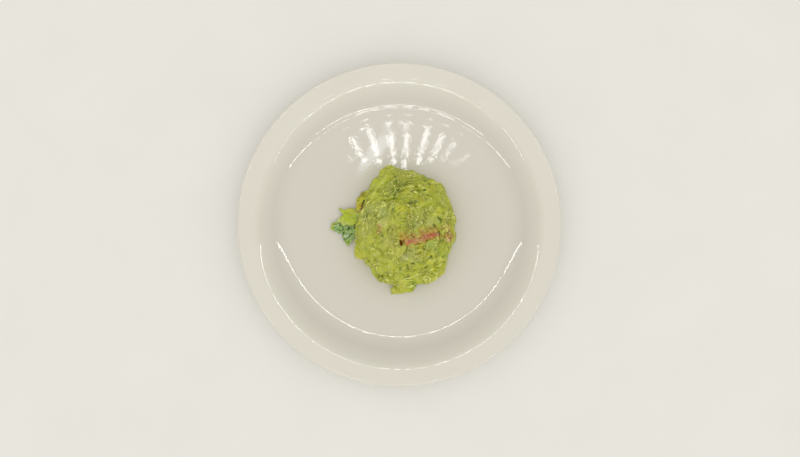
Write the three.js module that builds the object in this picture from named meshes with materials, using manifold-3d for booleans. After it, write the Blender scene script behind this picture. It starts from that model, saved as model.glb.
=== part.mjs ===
// Guacamole in the middle of a white glazed plate, with a coriander leaf, a paler leaf
// and pieces of tomato.
// Millimetres, +Z up. The origin is the middle of the plate's foot, on the table.
// The front of the plate is -Y and its right-hand side is +X.

import * as THREE from 'three';
import { mergeVertices } from 'three/addons/utils/BufferGeometryUtils.js';
import { ImprovedNoise } from 'three/addons/math/ImprovedNoise.js';
import Module from 'manifold-3d';

const wasm = await Module();
wasm.setup();

// ---------------------------------------------------------------- driving dimensions

const gap = 0.3;                    // room between two pieces that touch

const plateRadius = 115;
const plateThickness = 3.6;
const floorTop = 5.6;               // height of the well's middle
const footRadius = 63.5;            // middle of the foot ring
const footWidth = 3.4;
const plateSegments = 64;

const moundCentre = { x: 4, y: -2 };
const moundHalfWidth = 35.8;        // along X
const moundHalfDepth = 40.6;        // along Y
const moundHeight = 27;             // above the plate under it
const waistHeight = 5.5;            // its widest level, above the plate
const undercut = 2.2;               // how far its side turns in below that level
const domeRoundness = 0.8;          // below 1, the top is flatter and the sides are steeper
const moundDetail = 14;             // each edge of the twenty-sided start is split into 15

// The mound's share of the starting sphere's area: the dome, then the side below its
// widest level, and the flat underside takes the rest.
const domeShare = 0.82;
const sideShare = 0.9;

// Where the mound's edge leaves its ellipse: direction in degrees, reach and half-spread.
const edgeLobes = [
  { at: 106, reach: 5.6, spread: 11 },     // spout that the spoon left at the back
  { at: 125, reach: 2.6, spread: 7 },
  { at: 47, reach: 3.0, spread: 7 },       // lump at the back right
  { at: 15, reach: 1.9, spread: 8 },       // chunky lobe at the right
  { at: 155, reach: -3.3, spread: 21 },    // hollow behind the tomato skin
  { at: 209, reach: 4.7, spread: 8 },      // corner at the front left
  { at: 245, reach: 3.8, spread: 11 },
  { at: 290, reach: 4.1, spread: 28 },     // front lip
  { at: 310, reach: 2.9, spread: 7 },
  { at: 347, reach: 1.8, spread: 5 },      // end of the tomato
];

// Lumps that stand out of the dome: place, radius and rise. A negative rise is a hollow.
const lumps = [
  { x: 26, y: 18, radius: 8.5, rise: 2.0 },
  { x: 33, y: 6, radius: 7, rise: 1.6 },
  { x: 9, y: 0, radius: 5, rise: 1.3 },
  { x: -11, y: 3, radius: 13, rise: 1.5 },
  { x: -9, y: -25, radius: 8, rise: 1.8 },
  { x: -5, y: 35, radius: 7, rise: 2.0 },
  { x: 10, y: 30, radius: 8, rise: 1.0 },
  { x: -24, y: -18, radius: 6, rise: 1.2 },
  { x: 20, y: -24, radius: 8, rise: 1.2 },
  { x: 2, y: 22, radius: 6, rise: -1.5 },
  { x: 14, y: -14, radius: 6, rise: -0.8 },
];

// Folds across the dome: start, a point to bend towards, and end. The side to the left of
// that direction lies on top of the other.
const folds = [
  { from: [19, 24], towards: [0, 30], to: [-20, 19], height: 1.7 },      // behind the middle
  { from: [17, 24], towards: [6, 9], to: [-5, 18], height: 1.0 },
  { from: [-18, -31], towards: [9, -42], to: [29, -22], height: 2.0 },   // above the front lip
  { from: [-12, 37], towards: [-21, 17], to: [-27, 9], height: 1.5 },    // left edge
];
const foldWidth = 3.2;

// Two sizes of uneven mash: width of a lump and how far it stands out.
const mash = [
  { width: 9.5, rise: 1.8 },
  { width: 5, rise: 1.3 },
];

const tongue = { x: 4, y: -45.2, halfLength: 11, halfWidth: 4.6, halfHeight: 2.7, turn: 16 };

// Chopped herb in the surface: place, length and turn in degrees.
const herbFlecks = [
  [-2.6, 32.5, 3.4, 70], [-2.0, 29.5, 3.0, 20], [-0.9, 23.7, 3.6, 65], [-2.6, 20.3, 4.2, 50],
  [-4.2, 17.4, 3.0, 60], [7.5, 14.9, 4.0, 10], [11.8, 15.7, 3.4, 25], [17.4, 23.6, 3.2, -30],
  [12.6, 25.4, 3.2, -15], [-4.7, 10.5, 2.8, 40], [-3.4, 8.6, 2.4, 110], [28.4, 3.3, 3.0, 75],
  [-10.3, -8.4, 3.0, 60], [-12.0, -11.2, 3.2, 35], [21.8, -22.5, 3.4, 5], [9.9, -26.8, 4.6, 25],
  [0.8, -29.8, 3.6, 100], [-12.6, -36.0, 3.6, -40], [19.0, 30.4, 2.6, 10], [-22.0, 6.7, 3.0, 80],
];
const herbWidth = 1.6;
const herbThickness = 1.7;

// Pale bits of onion, set on a spiral of golden-angle steps over the dome.
const paleBits = { count: 26, first: 6, reach: 0.86, length: 2.8, width: 2, thickness: 2 };
const goldenAngle = Math.PI * (3 - Math.sqrt(5));

const redBit = { x: -13.5, y: -3.1, length: 6, width: 2.4, thickness: 2, turn: 100 };
const chilliFleck = { x: 0.4, y: -12.4, length: 4.2, width: 2.1, thickness: 2, turn: 115 };

const tomatoStrip = {
  start: { x: 2.1, y: -13.3 }, end: { x: 27.2, y: -6.3 }, width: 5.4, above: 0.9, below: 1.5,
};
const tomatoEnd = { x: 34.4, y: -8.2, halfLength: 3.9, halfWidth: 3.2, halfHeight: 1.9 };

// The skin is a flake of a ball, leaning against the mound's left side.
const tomatoSkin = {
  x: -27.6, y: 17.4, length: 16, height: 12, thickness: 1.8,
  bend: 9.5, lean: 42, heading: 154, rise: 7.8,
};

const paleLeaf = {
  x: -36.2, y: 5.4, reach: 6.4, thickness: 0.9, cells: 9, atEdge: 5.4, atTip: 2.3,
  lobes: [
    { at: 139, reach: 3.4, spread: 9 },
    { at: 163, reach: -1.6, spread: 10 },
    { at: 20, reach: 2.2, spread: 35 },
    { at: 250, reach: -1.0, spread: 25 },
  ],
  teeth: 0.2, toothCount: 7, crinkle: 0.25, crinkleWidth: 6,
};
const coriander = {
  x: -38.3, y: -5.2, reach: 5.2, thickness: 0.9, cells: 12, atEdge: 2.6, atTip: 1.7,
  lobes: [
    { at: 164, reach: 7.6, spread: 20 },
    { at: 120, reach: 1.6, spread: 20 },
    { at: 212, reach: -1.7, spread: 16 },
    { at: 274, reach: 4.4, spread: 24 },
    { at: 350, reach: 3.8, spread: 40 },
  ],
  teeth: 0.7, toothCount: 11, crinkle: 0.6, crinkleWidth: 3.4,
};

// ---------------------------------------------------------------- helpers

const noise = new ImprovedNoise();

function fallOff(distance, width) {
  return Math.exp(-((distance / width) ** 2));
}

function lobesAt(lobes, angle) {
  let sum = 0;
  for (const lobe of lobes) {
    const turn = THREE.MathUtils.radToDeg(angle) - lobe.at;
    const away = THREE.MathUtils.euclideanModulo(turn + 180, 360) - 180;
    sum += lobe.reach * fallOff(away, lobe.spread);
  }
  return sum;
}

function moveVertices(geometry, place) {
  const position = geometry.attributes.position;
  const point = new THREE.Vector3();
  for (let i = 0; i < position.count; i += 1) {
    place(point.fromBufferAttribute(position, i));
    position.setXYZ(i, point.x, point.y, point.z);
  }
  return geometry;
}

function merged(geometry) {
  geometry.deleteAttribute('normal');
  geometry.deleteAttribute('uv');
  return mergeVertices(geometry, 1e-4);
}

function toSolid(geometry) {
  const closed = merged(geometry);
  return new wasm.Manifold(new wasm.Mesh({
    numProp: 3,
    vertProperties: new Float32Array(closed.attributes.position.array),
    triVerts: new Uint32Array(closed.index.array),
  }));
}

function toGeometry(solid) {
  const mesh = solid.getMesh();
  const geometry = new THREE.BufferGeometry();
  geometry.setAttribute('position', new THREE.BufferAttribute(mesh.vertProperties, 3));
  geometry.setIndex(new THREE.BufferAttribute(mesh.triVerts, 1));
  geometry.computeVertexNormals();
  return geometry;
}

// Closes an open sheet into a solid: two faces with the same triangles, and a wall round them.
function thicken(sheet, thickness) {
  sheet.computeVertexNormals();
  const { position, normal } = sheet.attributes;
  const count = position.count;
  const points = new Float32Array(6 * count);
  const point = new THREE.Vector3();
  const outward = new THREE.Vector3();
  for (let i = 0; i < count; i += 1) {
    outward.fromBufferAttribute(normal, i);
    point.fromBufferAttribute(position, i).addScaledVector(outward, thickness / 2);
    point.toArray(points, 3 * i);
    point.addScaledVector(outward, -thickness).toArray(points, 3 * (count + i));
  }
  const index = [];
  const openEdges = new Map();
  for (let t = 0; t < sheet.index.count; t += 3) {
    const corners = [0, 1, 2].map((k) => sheet.index.getX(t + k));
    const [a, b, c] = corners;
    index.push(a, b, c, a + count, c + count, b + count);
    for (const [p, q] of [[a, b], [b, c], [c, a]]) {
      if (!openEdges.delete(`${q} ${p}`)) openEdges.set(`${p} ${q}`, [p, q]);
    }
  }
  for (const [p, q] of openEdges.values()) index.push(q, p, p + count, q, p + count, q + count);
  const solid = new THREE.BufferGeometry();
  solid.setAttribute('position', new THREE.BufferAttribute(points, 3));
  solid.setIndex(index);
  solid.computeVertexNormals();
  return solid;
}

// ---------------------------------------------------------------- plate

// Slope of the plate's upper face, as rise over run, at named radii. It changes evenly
// between them. The steps are the rings of the solid up to that radius.
const lipRadius = plateThickness / 2;
const section = [
  { radius: 0, slope: 0, steps: 0 },
  { radius: 0.696 * plateRadius, slope: 0.079, steps: 4 },        // gently dished floor
  { radius: 0.791 * plateRadius, slope: 0.675, steps: 4 },        // foot of the wall
  { radius: 0.861 * plateRadius, slope: 0.675, steps: 1 },        // head of the wall
  { radius: 0.904 * plateRadius, slope: 0.087, steps: 3 },        // shoulder
  { radius: plateRadius - lipRadius, slope: 0.087, steps: 1 },    // rim
];

function topOfPlate(radius) {
  let height = floorTop;
  for (let k = 1; k < section.length; k += 1) {
    const inner = section[k - 1];
    const outer = section[k];
    const run = Math.min(radius, outer.radius) - inner.radius;
    if (run <= 0) break;
    const share = run / (outer.radius - inner.radius);
    const slope = THREE.MathUtils.lerp(inner.slope, outer.slope, share);
    height += (run * (inner.slope + slope)) / 2;
  }
  return height;
}

function buildPlate() {
  const profile = [new THREE.Vector2(0, floorTop)];
  for (let k = 1; k < section.length; k += 1) {
    for (let step = 1; step <= section[k].steps; step += 1) {
      const share = step / section[k].steps;
      const radius = THREE.MathUtils.lerp(section[k - 1].radius, section[k].radius, share);
      profile.push(new THREE.Vector2(radius, topOfPlate(radius)));
    }
  }
  const lipCentre = new THREE.Vector2(plateRadius - lipRadius, topOfPlate(plateRadius) - lipRadius);
  for (let turn = 60; turn >= -60; turn -= 30) {
    const angle = THREE.MathUtils.degToRad(turn);
    const reach = new THREE.Vector2(Math.cos(angle), Math.sin(angle)).multiplyScalar(lipRadius);
    profile.push(lipCentre.clone().add(reach));
  }
  const footOuter = footRadius + footWidth / 2;
  const footInner = footRadius - footWidth / 2;
  const under = [lipCentre.x, ...section.slice(1, 5).map((ring) => ring.radius).reverse(), footOuter + 2];
  for (const radius of under) {
    profile.push(new THREE.Vector2(radius, topOfPlate(radius) - plateThickness));
  }
  profile.push(new THREE.Vector2(footOuter, 0), new THREE.Vector2(footInner, 0));
  for (const radius of [footInner - 1.5, footInner / 2, 0]) {
    profile.push(new THREE.Vector2(radius, topOfPlate(radius) - plateThickness));
  }
  profile.reverse();
  return merged(new THREE.LatheGeometry(profile, plateSegments)).rotateX(Math.PI / 2);
}

// ---------------------------------------------------------------- mound

const foldLines = folds.map((fold) => ({
  height: fold.height,
  points: new THREE.QuadraticBezierCurve(
    new THREE.Vector2(...fold.from),
    new THREE.Vector2(...fold.towards),
    new THREE.Vector2(...fold.to),
  ).getPoints(14),
}));

// A fold raises the side to its left and sinks the side to its right.
function foldRelief(x, y) {
  let relief = 0;
  for (const { points, height } of foldLines) {
    let nearest = Infinity;
    let side = 0;
    for (let k = 1; k < points.length; k += 1) {
      const dx = x - points[k].x;
      const dy = y - points[k].y;
      const distance = Math.hypot(dx, dy);
      if (distance < nearest) {
        const along = points[k].clone().sub(points[k - 1]);
        nearest = distance;
        side = Math.sign(along.x * dy - along.y * dx);
      }
    }
    const from = side * nearest;
    relief += height * fallOff(from - foldWidth / 2, foldWidth);
    relief -= height * fallOff(from + foldWidth / 2, foldWidth / 2);
  }
  return relief;
}

function moundRelief(point) {
  let relief = foldRelief(point.x, point.y);
  for (const lump of lumps) {
    relief += lump.rise * fallOff(Math.hypot(point.x - lump.x, point.y - lump.y), lump.radius);
  }
  for (const { width, rise } of mash) {
    relief += rise * noise.noise(point.x / width, point.y / width, point.z / width);
  }
  return relief;
}

function edgeReach(angle) {
  const across = Math.cos(angle) / moundHalfWidth;
  const along = Math.sin(angle) / moundHalfDepth;
  return 1 / Math.hypot(across, along) + lobesAt(edgeLobes, angle);
}

// Sends a point of the unit sphere to the mound's surface.
function placeOnMound(point) {
  const angle = Math.atan2(point.y, point.x);
  const share = (1 - point.z) / 2;
  const reach = edgeReach(angle);
  let radius = reach;
  let rise = 0;
  let fall = 0;
  if (share <= domeShare) {
    fall = Math.acos(1 - share / domeShare);
    radius *= Math.sin(fall) ** domeRoundness;
    rise = waistHeight + (moundHeight - waistHeight) * Math.max(Math.cos(fall), 0) ** domeRoundness;
  } else if (share <= sideShare) {
    const turn = ((share - domeShare) / (sideShare - domeShare)) * (Math.PI / 2);
    radius -= undercut * (1 - Math.cos(turn));
    rise = waistHeight * (1 - Math.sin(turn));
  } else {
    radius = (reach - undercut) * Math.sqrt((1 - share) / (1 - sideShare));
  }
  point.x = moundCentre.x + radius * Math.cos(angle);
  point.y = moundCentre.y + radius * Math.sin(angle);
  point.z = topOfPlate(Math.hypot(point.x, point.y)) + gap + rise;
  if (share <= domeShare) {
    const outward = new THREE.Vector3(Math.cos(angle), Math.sin(angle), 0).multiplyScalar(Math.sin(fall));
    outward.z = Math.cos(fall);
    point.addScaledVector(outward, moundRelief(point) * (0.45 + 0.55 * Math.sqrt(Math.cos(fall))));
  }
}

function buildMoundCore() {
  return moveVertices(merged(new THREE.IcosahedronGeometry(1, moundDetail)), placeOnMound);
}

const coreMesh = new THREE.Mesh(buildMoundCore(), new THREE.MeshBasicMaterial({ side: THREE.DoubleSide }));
const ray = new THREE.Raycaster();
const down = new THREE.Vector3(0, 0, -1);

// The mound's surface under a place: its point and its outward normal.
function surfaceUnder(x, y) {
  ray.set(new THREE.Vector3(x, y, 100), down);
  const hit = ray.intersectObject(coreMesh)[0];
  return { point: hit.point, normal: hit.face.normal.clone() };
}

// A small bit half sunk in the mound's surface.
function bitOnMound(x, y, length, width, thickness, turnDegrees) {
  const { point, normal } = surfaceUnder(x, y);
  const bit = new THREE.IcosahedronGeometry(1, 0).scale(length / 2, width / 2, thickness / 2);
  bit.rotateZ(THREE.MathUtils.degToRad(turnDegrees));
  bit.applyQuaternion(new THREE.Quaternion().setFromUnitVectors(new THREE.Vector3(0, 0, 1), normal));
  bit.translate(point.x, point.y, point.z);
  return toSolid(bit);
}

function herbBits() {
  return herbFlecks.map(([x, y, length, turn]) => bitOnMound(x, y, length, herbWidth, herbThickness, turn));
}

function onionBits() {
  const bits = [];
  for (let k = paleBits.first; k < paleBits.first + paleBits.count; k += 1) {
    const angle = k * goldenAngle;
    const share = Math.sqrt(k / (paleBits.first + paleBits.count));
    const radius = paleBits.reach * share * edgeReach(angle);
    const x = moundCentre.x + radius * Math.cos(angle);
    const y = moundCentre.y + radius * Math.sin(angle);
    if (!nearTomato(x, y)) {
      bits.push(bitOnMound(x, y, paleBits.length, paleBits.width, paleBits.thickness, 37 * k));
    }
  }
  return bits;
}

// True where a bit would touch the tomato pieces or the leaves.
function nearTomato(x, y) {
  const { start, end, width } = tomatoStrip;
  const strip = new THREE.Line3(new THREE.Vector3(start.x, start.y, 0), new THREE.Vector3(end.x, end.y, 0));
  const spot = new THREE.Vector3(x, y, 0);
  const fromStrip = strip.closestPointToPoint(spot, true, new THREE.Vector3()).distanceTo(spot);
  const fromEnd = Math.hypot(x - tomatoEnd.x, y - tomatoEnd.y);
  const fromSkin = Math.hypot(x - tomatoSkin.x, y - tomatoSkin.y);
  return fromStrip < width / 2 + 2.5 || fromEnd < tomatoEnd.halfLength + 2.5 || fromSkin < 10;
}

function tongueSolid() {
  const { x, y, halfLength, halfWidth, halfHeight, turn } = tongue;
  const geometry = new THREE.IcosahedronGeometry(1, 4).scale(halfLength, halfWidth, halfHeight);
  geometry.rotateZ(THREE.MathUtils.degToRad(turn));
  const bottom = topOfPlate(Math.hypot(x, y) + halfWidth) + gap;
  geometry.translate(x, y, bottom + halfHeight);
  return toSolid(geometry);
}

// ---------------------------------------------------------------- tomato

// A strip laid over the mound and sunk into its surface.
function buildTomatoStrip(grow) {
  const start = new THREE.Vector2(tomatoStrip.start.x, tomatoStrip.start.y);
  const end = new THREE.Vector2(tomatoStrip.end.x, tomatoStrip.end.y);
  const along = end.clone().sub(start).normalize();
  const across = new THREE.Vector2(-along.y, along.x);
  const length = start.distanceTo(end) + 2 * grow;
  const width = tomatoStrip.width + 2 * grow;
  const geometry = merged(new THREE.BoxGeometry(length, width, 1, 12, 4, 1));
  const middle = start.clone().add(end).multiplyScalar(0.5);
  return moveVertices(geometry, (point) => {
    const side = (2 * point.y) / width;
    const sway = 0.5 * Math.sin(point.x / 3.2) * (1 + 0.4 * side);
    const plan = middle.clone().addScaledVector(along, point.x).addScaledVector(across, point.y + sway);
    const crown = 1 - 0.45 * side * side;
    const offset = point.z > 0 ? tomatoStrip.above * crown + grow : -tomatoStrip.below * crown - grow;
    const surface = surfaceUnder(plan.x, plan.y).point.z;
    point.set(plan.x, plan.y, surface + offset);
  });
}

function buildTomatoEnd(grow) {
  const { x, y, halfLength, halfWidth, halfHeight } = tomatoEnd;
  const { point: centre, normal } = surfaceUnder(x, y);
  const geometry = moveVertices(merged(new THREE.IcosahedronGeometry(1, 3)), (point) => {
    const wobble = 1 + 0.4 * noise.noise(1.6 * point.x, 1.6 * point.y, 1.6 * point.z);
    point.set(
      point.x * (halfLength * wobble + grow),
      point.y * (halfWidth * wobble + grow),
      point.z * (halfHeight * wobble + grow),
    );
  });
  geometry.applyQuaternion(new THREE.Quaternion().setFromUnitVectors(new THREE.Vector3(0, 0, 1), normal));
  return geometry.translate(centre.x, centre.y, centre.z);
}

// A flake of skin: a sheet bent like a piece of a ball, standing on its long edge.
function buildTomatoSkin(grow) {
  const { x, y, length, height, thickness, bend, lean, heading, rise } = tomatoSkin;
  const sheet = new THREE.PlaneGeometry(length + 2 * grow, height + 2 * grow, 8, 6);
  moveVertices(sheet, (point) => {
    const corner = 1 - 0.22 * ((2 * point.x) / length) ** 2 * ((2 * point.y) / height) ** 2;
    const away = Math.hypot(point.x, point.y);
    point.multiplyScalar(corner);
    point.z = -(away * away) / (2 * bend);
    point.z += 0.5 * noise.noise(point.x / 4, point.y / 4, 3);
  });
  const solid = thicken(sheet, thickness + 2 * grow);
  solid.rotateX(THREE.MathUtils.degToRad(90 - lean));
  solid.rotateZ(THREE.MathUtils.degToRad(heading + 90));
  return solid.translate(x, y, topOfPlate(Math.hypot(x, y)) + rise);
}

// ---------------------------------------------------------------- leaves

function leafHeight(leaf, x, y) {
  const nearMound = Math.hypot(x - moundCentre.x, y - moundCentre.y) - edgeReach(Math.PI);
  const share = THREE.MathUtils.smoothstep(nearMound, 0, 16);
  const lift = THREE.MathUtils.lerp(leaf.atEdge, leaf.atTip, share);
  const wave = leaf.crinkle * noise.noise(x / leaf.crinkleWidth, y / leaf.crinkleWidth, 7) * 2;
  return topOfPlate(Math.hypot(x, y)) + lift + wave;
}

// A square grid is rounded into a disc, stretched to the leaf's outline, laid over its
// waves and given two faces.
function buildLeaf(leaf, grow) {
  const sheet = new THREE.PlaneGeometry(2, 2, leaf.cells, leaf.cells);
  moveVertices(sheet, (point) => {
    const discX = point.x * Math.sqrt(1 - point.y ** 2 / 2);
    const discY = point.y * Math.sqrt(1 - point.x ** 2 / 2);
    const angle = Math.atan2(discY, discX);
    const teeth = leaf.teeth * Math.cos(leaf.toothCount * angle);
    const reach = Math.hypot(discX, discY) * (leaf.reach + lobesAt(leaf.lobes, angle) + teeth + grow);
    const x = leaf.x + reach * Math.cos(angle);
    const y = leaf.y + reach * Math.sin(angle);
    point.set(x, y, leafHeight(leaf, x, y));
  });
  return thicken(sheet, leaf.thickness + 2 * grow);
}

// ---------------------------------------------------------------- assembly

function buildGuacamole() {
  let solid = toSolid(buildMoundCore()).add(tongueSolid());
  const bits = [
    ...herbBits(),
    ...onionBits(),
    bitOnMound(redBit.x, redBit.y, redBit.length, redBit.width, redBit.thickness, redBit.turn),
    bitOnMound(
      chilliFleck.x, chilliFleck.y, chilliFleck.length, chilliFleck.width, chilliFleck.thickness,
      chilliFleck.turn,
    ),
  ];
  for (const bit of bits) solid = solid.add(bit);
  const cutters = [
    buildTomatoStrip(gap),
    buildTomatoEnd(gap),
    buildTomatoSkin(gap),
    buildLeaf(paleLeaf, gap),
    buildLeaf(coriander, gap),
  ];
  for (const cutter of cutters) solid = solid.subtract(toSolid(cutter));
  return toGeometry(solid);
}

function buildPaleLeaf() {
  return toGeometry(toSolid(buildLeaf(paleLeaf, 0)).subtract(toSolid(buildTomatoSkin(gap))));
}

const colours = {
  glaze: '#dfdbcd',
  guacamole: '#a3a544',
  tomato: '#c2603e',
  tomatoSkin: '#c08a2e',
  coriander: '#4f7a4a',
  paleLeaf: '#9fb02c',
};

function piece(name, geometry, colour, roughness) {
  const material = new THREE.MeshStandardMaterial({ color: colour, roughness, metalness: 0 });
  const mesh = new THREE.Mesh(geometry, material);
  mesh.name = name;
  return mesh;
}

const group = new THREE.Group();
group.add(
  piece('plate', buildPlate(), colours.glaze, 0.12),
  piece('guacamole', buildGuacamole(), colours.guacamole, 0.4),
  piece('tomato_strip', buildTomatoStrip(0), colours.tomato, 0.3),
  piece('tomato_end', buildTomatoEnd(0), colours.tomato, 0.3),
  piece('tomato_skin', buildTomatoSkin(0), colours.tomatoSkin, 0.3),
  piece('coriander_leaf', buildLeaf(coriander, 0), colours.coriander, 0.5),
  piece('pale_leaf', buildPaleLeaf(), colours.paleLeaf, 0.4),
);

export default group;
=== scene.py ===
"""Guacamole on a white glazed plate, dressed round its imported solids.

Metres, +Z up. The front of the plate is -Y and its right-hand side is +X.
"""

import math

import bmesh
import bpy
import numpy as np
from bpy.props import FloatProperty, FloatVectorProperty, IntProperty, PointerProperty
from mathutils import Matrix, Vector, noise
from mathutils.bvhtree import BVHTree


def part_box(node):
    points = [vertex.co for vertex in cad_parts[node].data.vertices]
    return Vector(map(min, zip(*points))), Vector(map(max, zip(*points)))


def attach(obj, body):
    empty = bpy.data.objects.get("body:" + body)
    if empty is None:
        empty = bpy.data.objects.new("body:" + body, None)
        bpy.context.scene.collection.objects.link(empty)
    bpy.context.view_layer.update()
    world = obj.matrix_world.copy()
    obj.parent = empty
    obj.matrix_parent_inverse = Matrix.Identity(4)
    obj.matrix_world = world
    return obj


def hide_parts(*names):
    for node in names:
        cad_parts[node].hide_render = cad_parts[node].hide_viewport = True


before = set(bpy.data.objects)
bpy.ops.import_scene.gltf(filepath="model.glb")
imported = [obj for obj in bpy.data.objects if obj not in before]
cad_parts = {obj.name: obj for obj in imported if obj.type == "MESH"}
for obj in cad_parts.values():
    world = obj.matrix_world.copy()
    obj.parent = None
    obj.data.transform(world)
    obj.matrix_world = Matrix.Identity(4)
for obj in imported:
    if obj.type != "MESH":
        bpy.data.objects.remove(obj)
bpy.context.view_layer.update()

bl_info = {
    "name": "Guacamole on a plate",
    "version": (1, 0, 0),
    "blender": (4, 5, 0),
    "location": "View3D > Sidebar > Guacamole",
    "description": "Dresses a plate of guacamole with tomato and coriander",
    "category": "Add Mesh",
}

MM = 0.001
UP = Vector((0, 0, 1))
# Corners nearer than this are one corner, and rays start from this height, in metres.
MERGE = 0.001 * MM
RAY_HEIGHT = 0.1


# ---------------- shared helpers


def linear(hex_colour):
    """An sRGB hex colour as linear red, green, blue and alpha."""
    steps = [int(hex_colour[k : k + 2], 16) / 255 for k in (1, 3, 5)]
    light = [s / 12.92 if s <= 0.04045 else ((s + 0.055) / 1.055) ** 2.4 for s in steps]
    return (*light, 1.0)


def colour_setting(name, description, hex_colour):
    """A colour that a user can change."""
    return FloatVectorProperty(
        name=name, description=description, subtype="COLOR",
        size=4, min=0, max=1, default=linear(hex_colour),
    )


def length_setting(name, description, millimetres, least=0.1):
    """A length that a user can change, given here in millimetres."""
    return FloatProperty(
        name=name, description=description, default=millimetres * MM, min=least * MM, unit="LENGTH"
    )


def add_node(tree, kind, inputs=None, **settings):
    """Adds a node with its settings. An input is a value, or the output or node that feeds it,
    and a node feeds from its first output in use. Numbers name inputs that share a name: those
    of a Mix node are 0 for the share and 6 and 7 for the colours."""
    made = tree.nodes.new("ShaderNode" + kind)
    for name, value in settings.items():
        setattr(made, name, value)
    for name, value in (inputs or {}).items():
        if isinstance(value, bpy.types.Node):
            value = next(output for output in value.outputs if output.enabled)
        if isinstance(value, bpy.types.NodeSocket):
            tree.links.new(value, made.inputs[name])
        else:
            made.inputs[name].default_value = value
    return made


def new_material(name):
    """A material with no nodes but the object coordinates that its patterns read."""
    material = bpy.data.materials.new(name)
    material.use_nodes = True
    tree = material.node_tree
    tree.nodes.clear()
    return material, tree, add_node(tree, "TexCoord").outputs["Object"]


def layered(tree, colour, *layers):
    """Colours laid over a first one. Each has what drives it, the values of that at which it
    starts and is at its most, that most, and the colour."""
    for driver, start, full, most, tint in layers:
        share = add_node(
            tree, "MapRange", {"Value": driver, "From Min": start, "From Max": full, "To Max": most}
        )
        colour = add_node(tree, "Mix", {0: share, 6: colour, 7: tint}, data_type="RGBA")
    return colour


def solid_copy(node):
    """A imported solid's mesh with its corners joined."""
    bm = bmesh.new()
    bm.from_mesh(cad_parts[node].data)
    bmesh.ops.remove_doubles(bm, verts=bm.verts, dist=MERGE)
    return bm


def object_of(bm, name):
    """Puts a bmesh into the scene as an object."""
    mesh = bpy.data.meshes.new(name)
    bm.to_mesh(mesh)
    bm.free()
    made = bpy.data.objects.new(name, mesh)
    bpy.context.scene.collection.objects.link(made)
    return made


def evenly_skinned(bm, cell):
    """The same solid under an even skin of small squares."""
    scratch = object_of(bm, "scratch")
    mesh = scratch.data
    skin = scratch.modifiers.new("skin", "REMESH")
    skin.mode = "VOXEL"
    skin.voxel_size = cell
    even = bmesh.new()
    even.from_object(scratch, bpy.context.evaluated_depsgraph_get())
    bpy.data.objects.remove(scratch)
    bpy.data.meshes.remove(mesh)
    return even


def finish_piece(name, bm, material, stands_for):
    """Turns a bmesh into a finished piece that rides on the root body."""
    bm.normal_update()
    piece = object_of(bm, name)
    piece.data.shade_smooth()
    piece.data.materials.append(material)
    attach(piece, "root")
    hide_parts(stands_for)


def smooth_step(value, low, high):
    share = min(max((value - low) / (high - low), 0), 1)
    return share * share * (3 - 2 * share)


def fall_off(distance, width):
    return math.exp(-((distance / width) ** 2))


def drift(spot):
    """Three noise values at a spot, as a vector."""
    steps = (Vector((away, 2 * away, 3 * away)) for away in (11.3, 37.1, 71.7))
    return Vector([noise.noise(spot + step) for step in steps])


def distance_to_line(spot, start, end):
    """Distance of a spot from a line, and how far along the line it is, from 0 to 1."""
    along = end - start
    share = min(max((spot - start).dot(along) / along.length_squared, 0), 1)
    return (spot - start - share * along).length, share


# ---------------- plate

PLATE_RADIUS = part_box("plate")[1].x
PLATE_THICKNESS = 3.6 * MM
LIP = PLATE_THICKNESS / 2
FLOOR_TOP = 5.6 * MM
RIM_START = 0.904 * PLATE_RADIUS
FOOT_IN = 61.8 * MM
FOOT_OUT = 65.2 * MM

# Slope of the plate's upper face at named radii. It changes evenly between them. The last
# number is how many rings the stretch up to that radius has.
SECTION = (
    (0.0, 0.0, 0),
    (0.69 * PLATE_RADIUS, 0.0783, 10),
    (0.696 * PLATE_RADIUS, 0.079, 1),
    (0.699 * PLATE_RADIUS, 0.14, 1),
    (0.791 * PLATE_RADIUS, 0.675, 14),
    (0.861 * PLATE_RADIUS, 0.675, 2),
    (RIM_START, 0.087, 12),
    (PLATE_RADIUS - LIP - 0.3 * MM, 0.087, 4),
    (PLATE_RADIUS - LIP, 0.087, 1),
)
# Rings of the underside between the lip and the foot: how many, and the step between them.
UNDER_RINGS = 16
UNDER_STEP = 1.6 * MM

# The glaze is drawn a little darker inside the well: radii between which its tone changes.
WELL_EDGE = (101 * MM, 92 * MM)

# A dried wipe mark on the plate's floor: its middle, its direction and half its size.
SMEAR_PLACE = (-18 * MM, 53 * MM, 6 * MM)
SMEAR_TURN = (0, 0, math.radians(53))
SMEAR_SIZE = (33 * MM, 9 * MM, 20 * MM)


def plate_slope(radius):
    for (inner, slope_in, _), (outer, slope_out, _) in zip(SECTION, SECTION[1:]):
        if radius <= outer:
            return slope_in + (slope_out - slope_in) * (radius - inner) / (outer - inner)
    return SECTION[-1][1]


def plate_top(radius):
    height = FLOOR_TOP
    for (inner, slope_in, _), (outer, _, _) in zip(SECTION, SECTION[1:]):
        run = min(radius, outer) - inner
        if run <= 0:
            break
        height += run * (slope_in + plate_slope(inner + run)) / 2
    return height


class PlateSettings(bpy.types.PropertyGroup):
    """Sizes and colours of the plate."""

    turns: IntProperty(name="Segments", description="Segments round the plate", default=192, min=32)
    glaze: colour_setting("Glaze", "Warm white of the glazed body", "#e4e1d6")
    glaze_shade: colour_setting("Glaze shade", "Slightly deeper white between", "#dfdbcf")
    # Darker tone of the glaze inside the well.
    well: colour_setting("Well", "Tone of the thicker glaze in the well", "#d9d5cb")
    smear: colour_setting("Smear", "Pale film of a wipe across the well", "#f4f3f1")
    ripple: length_setting("Glaze ripple", "Width of the small ripples that the glaze sets with", 1.5)


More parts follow.
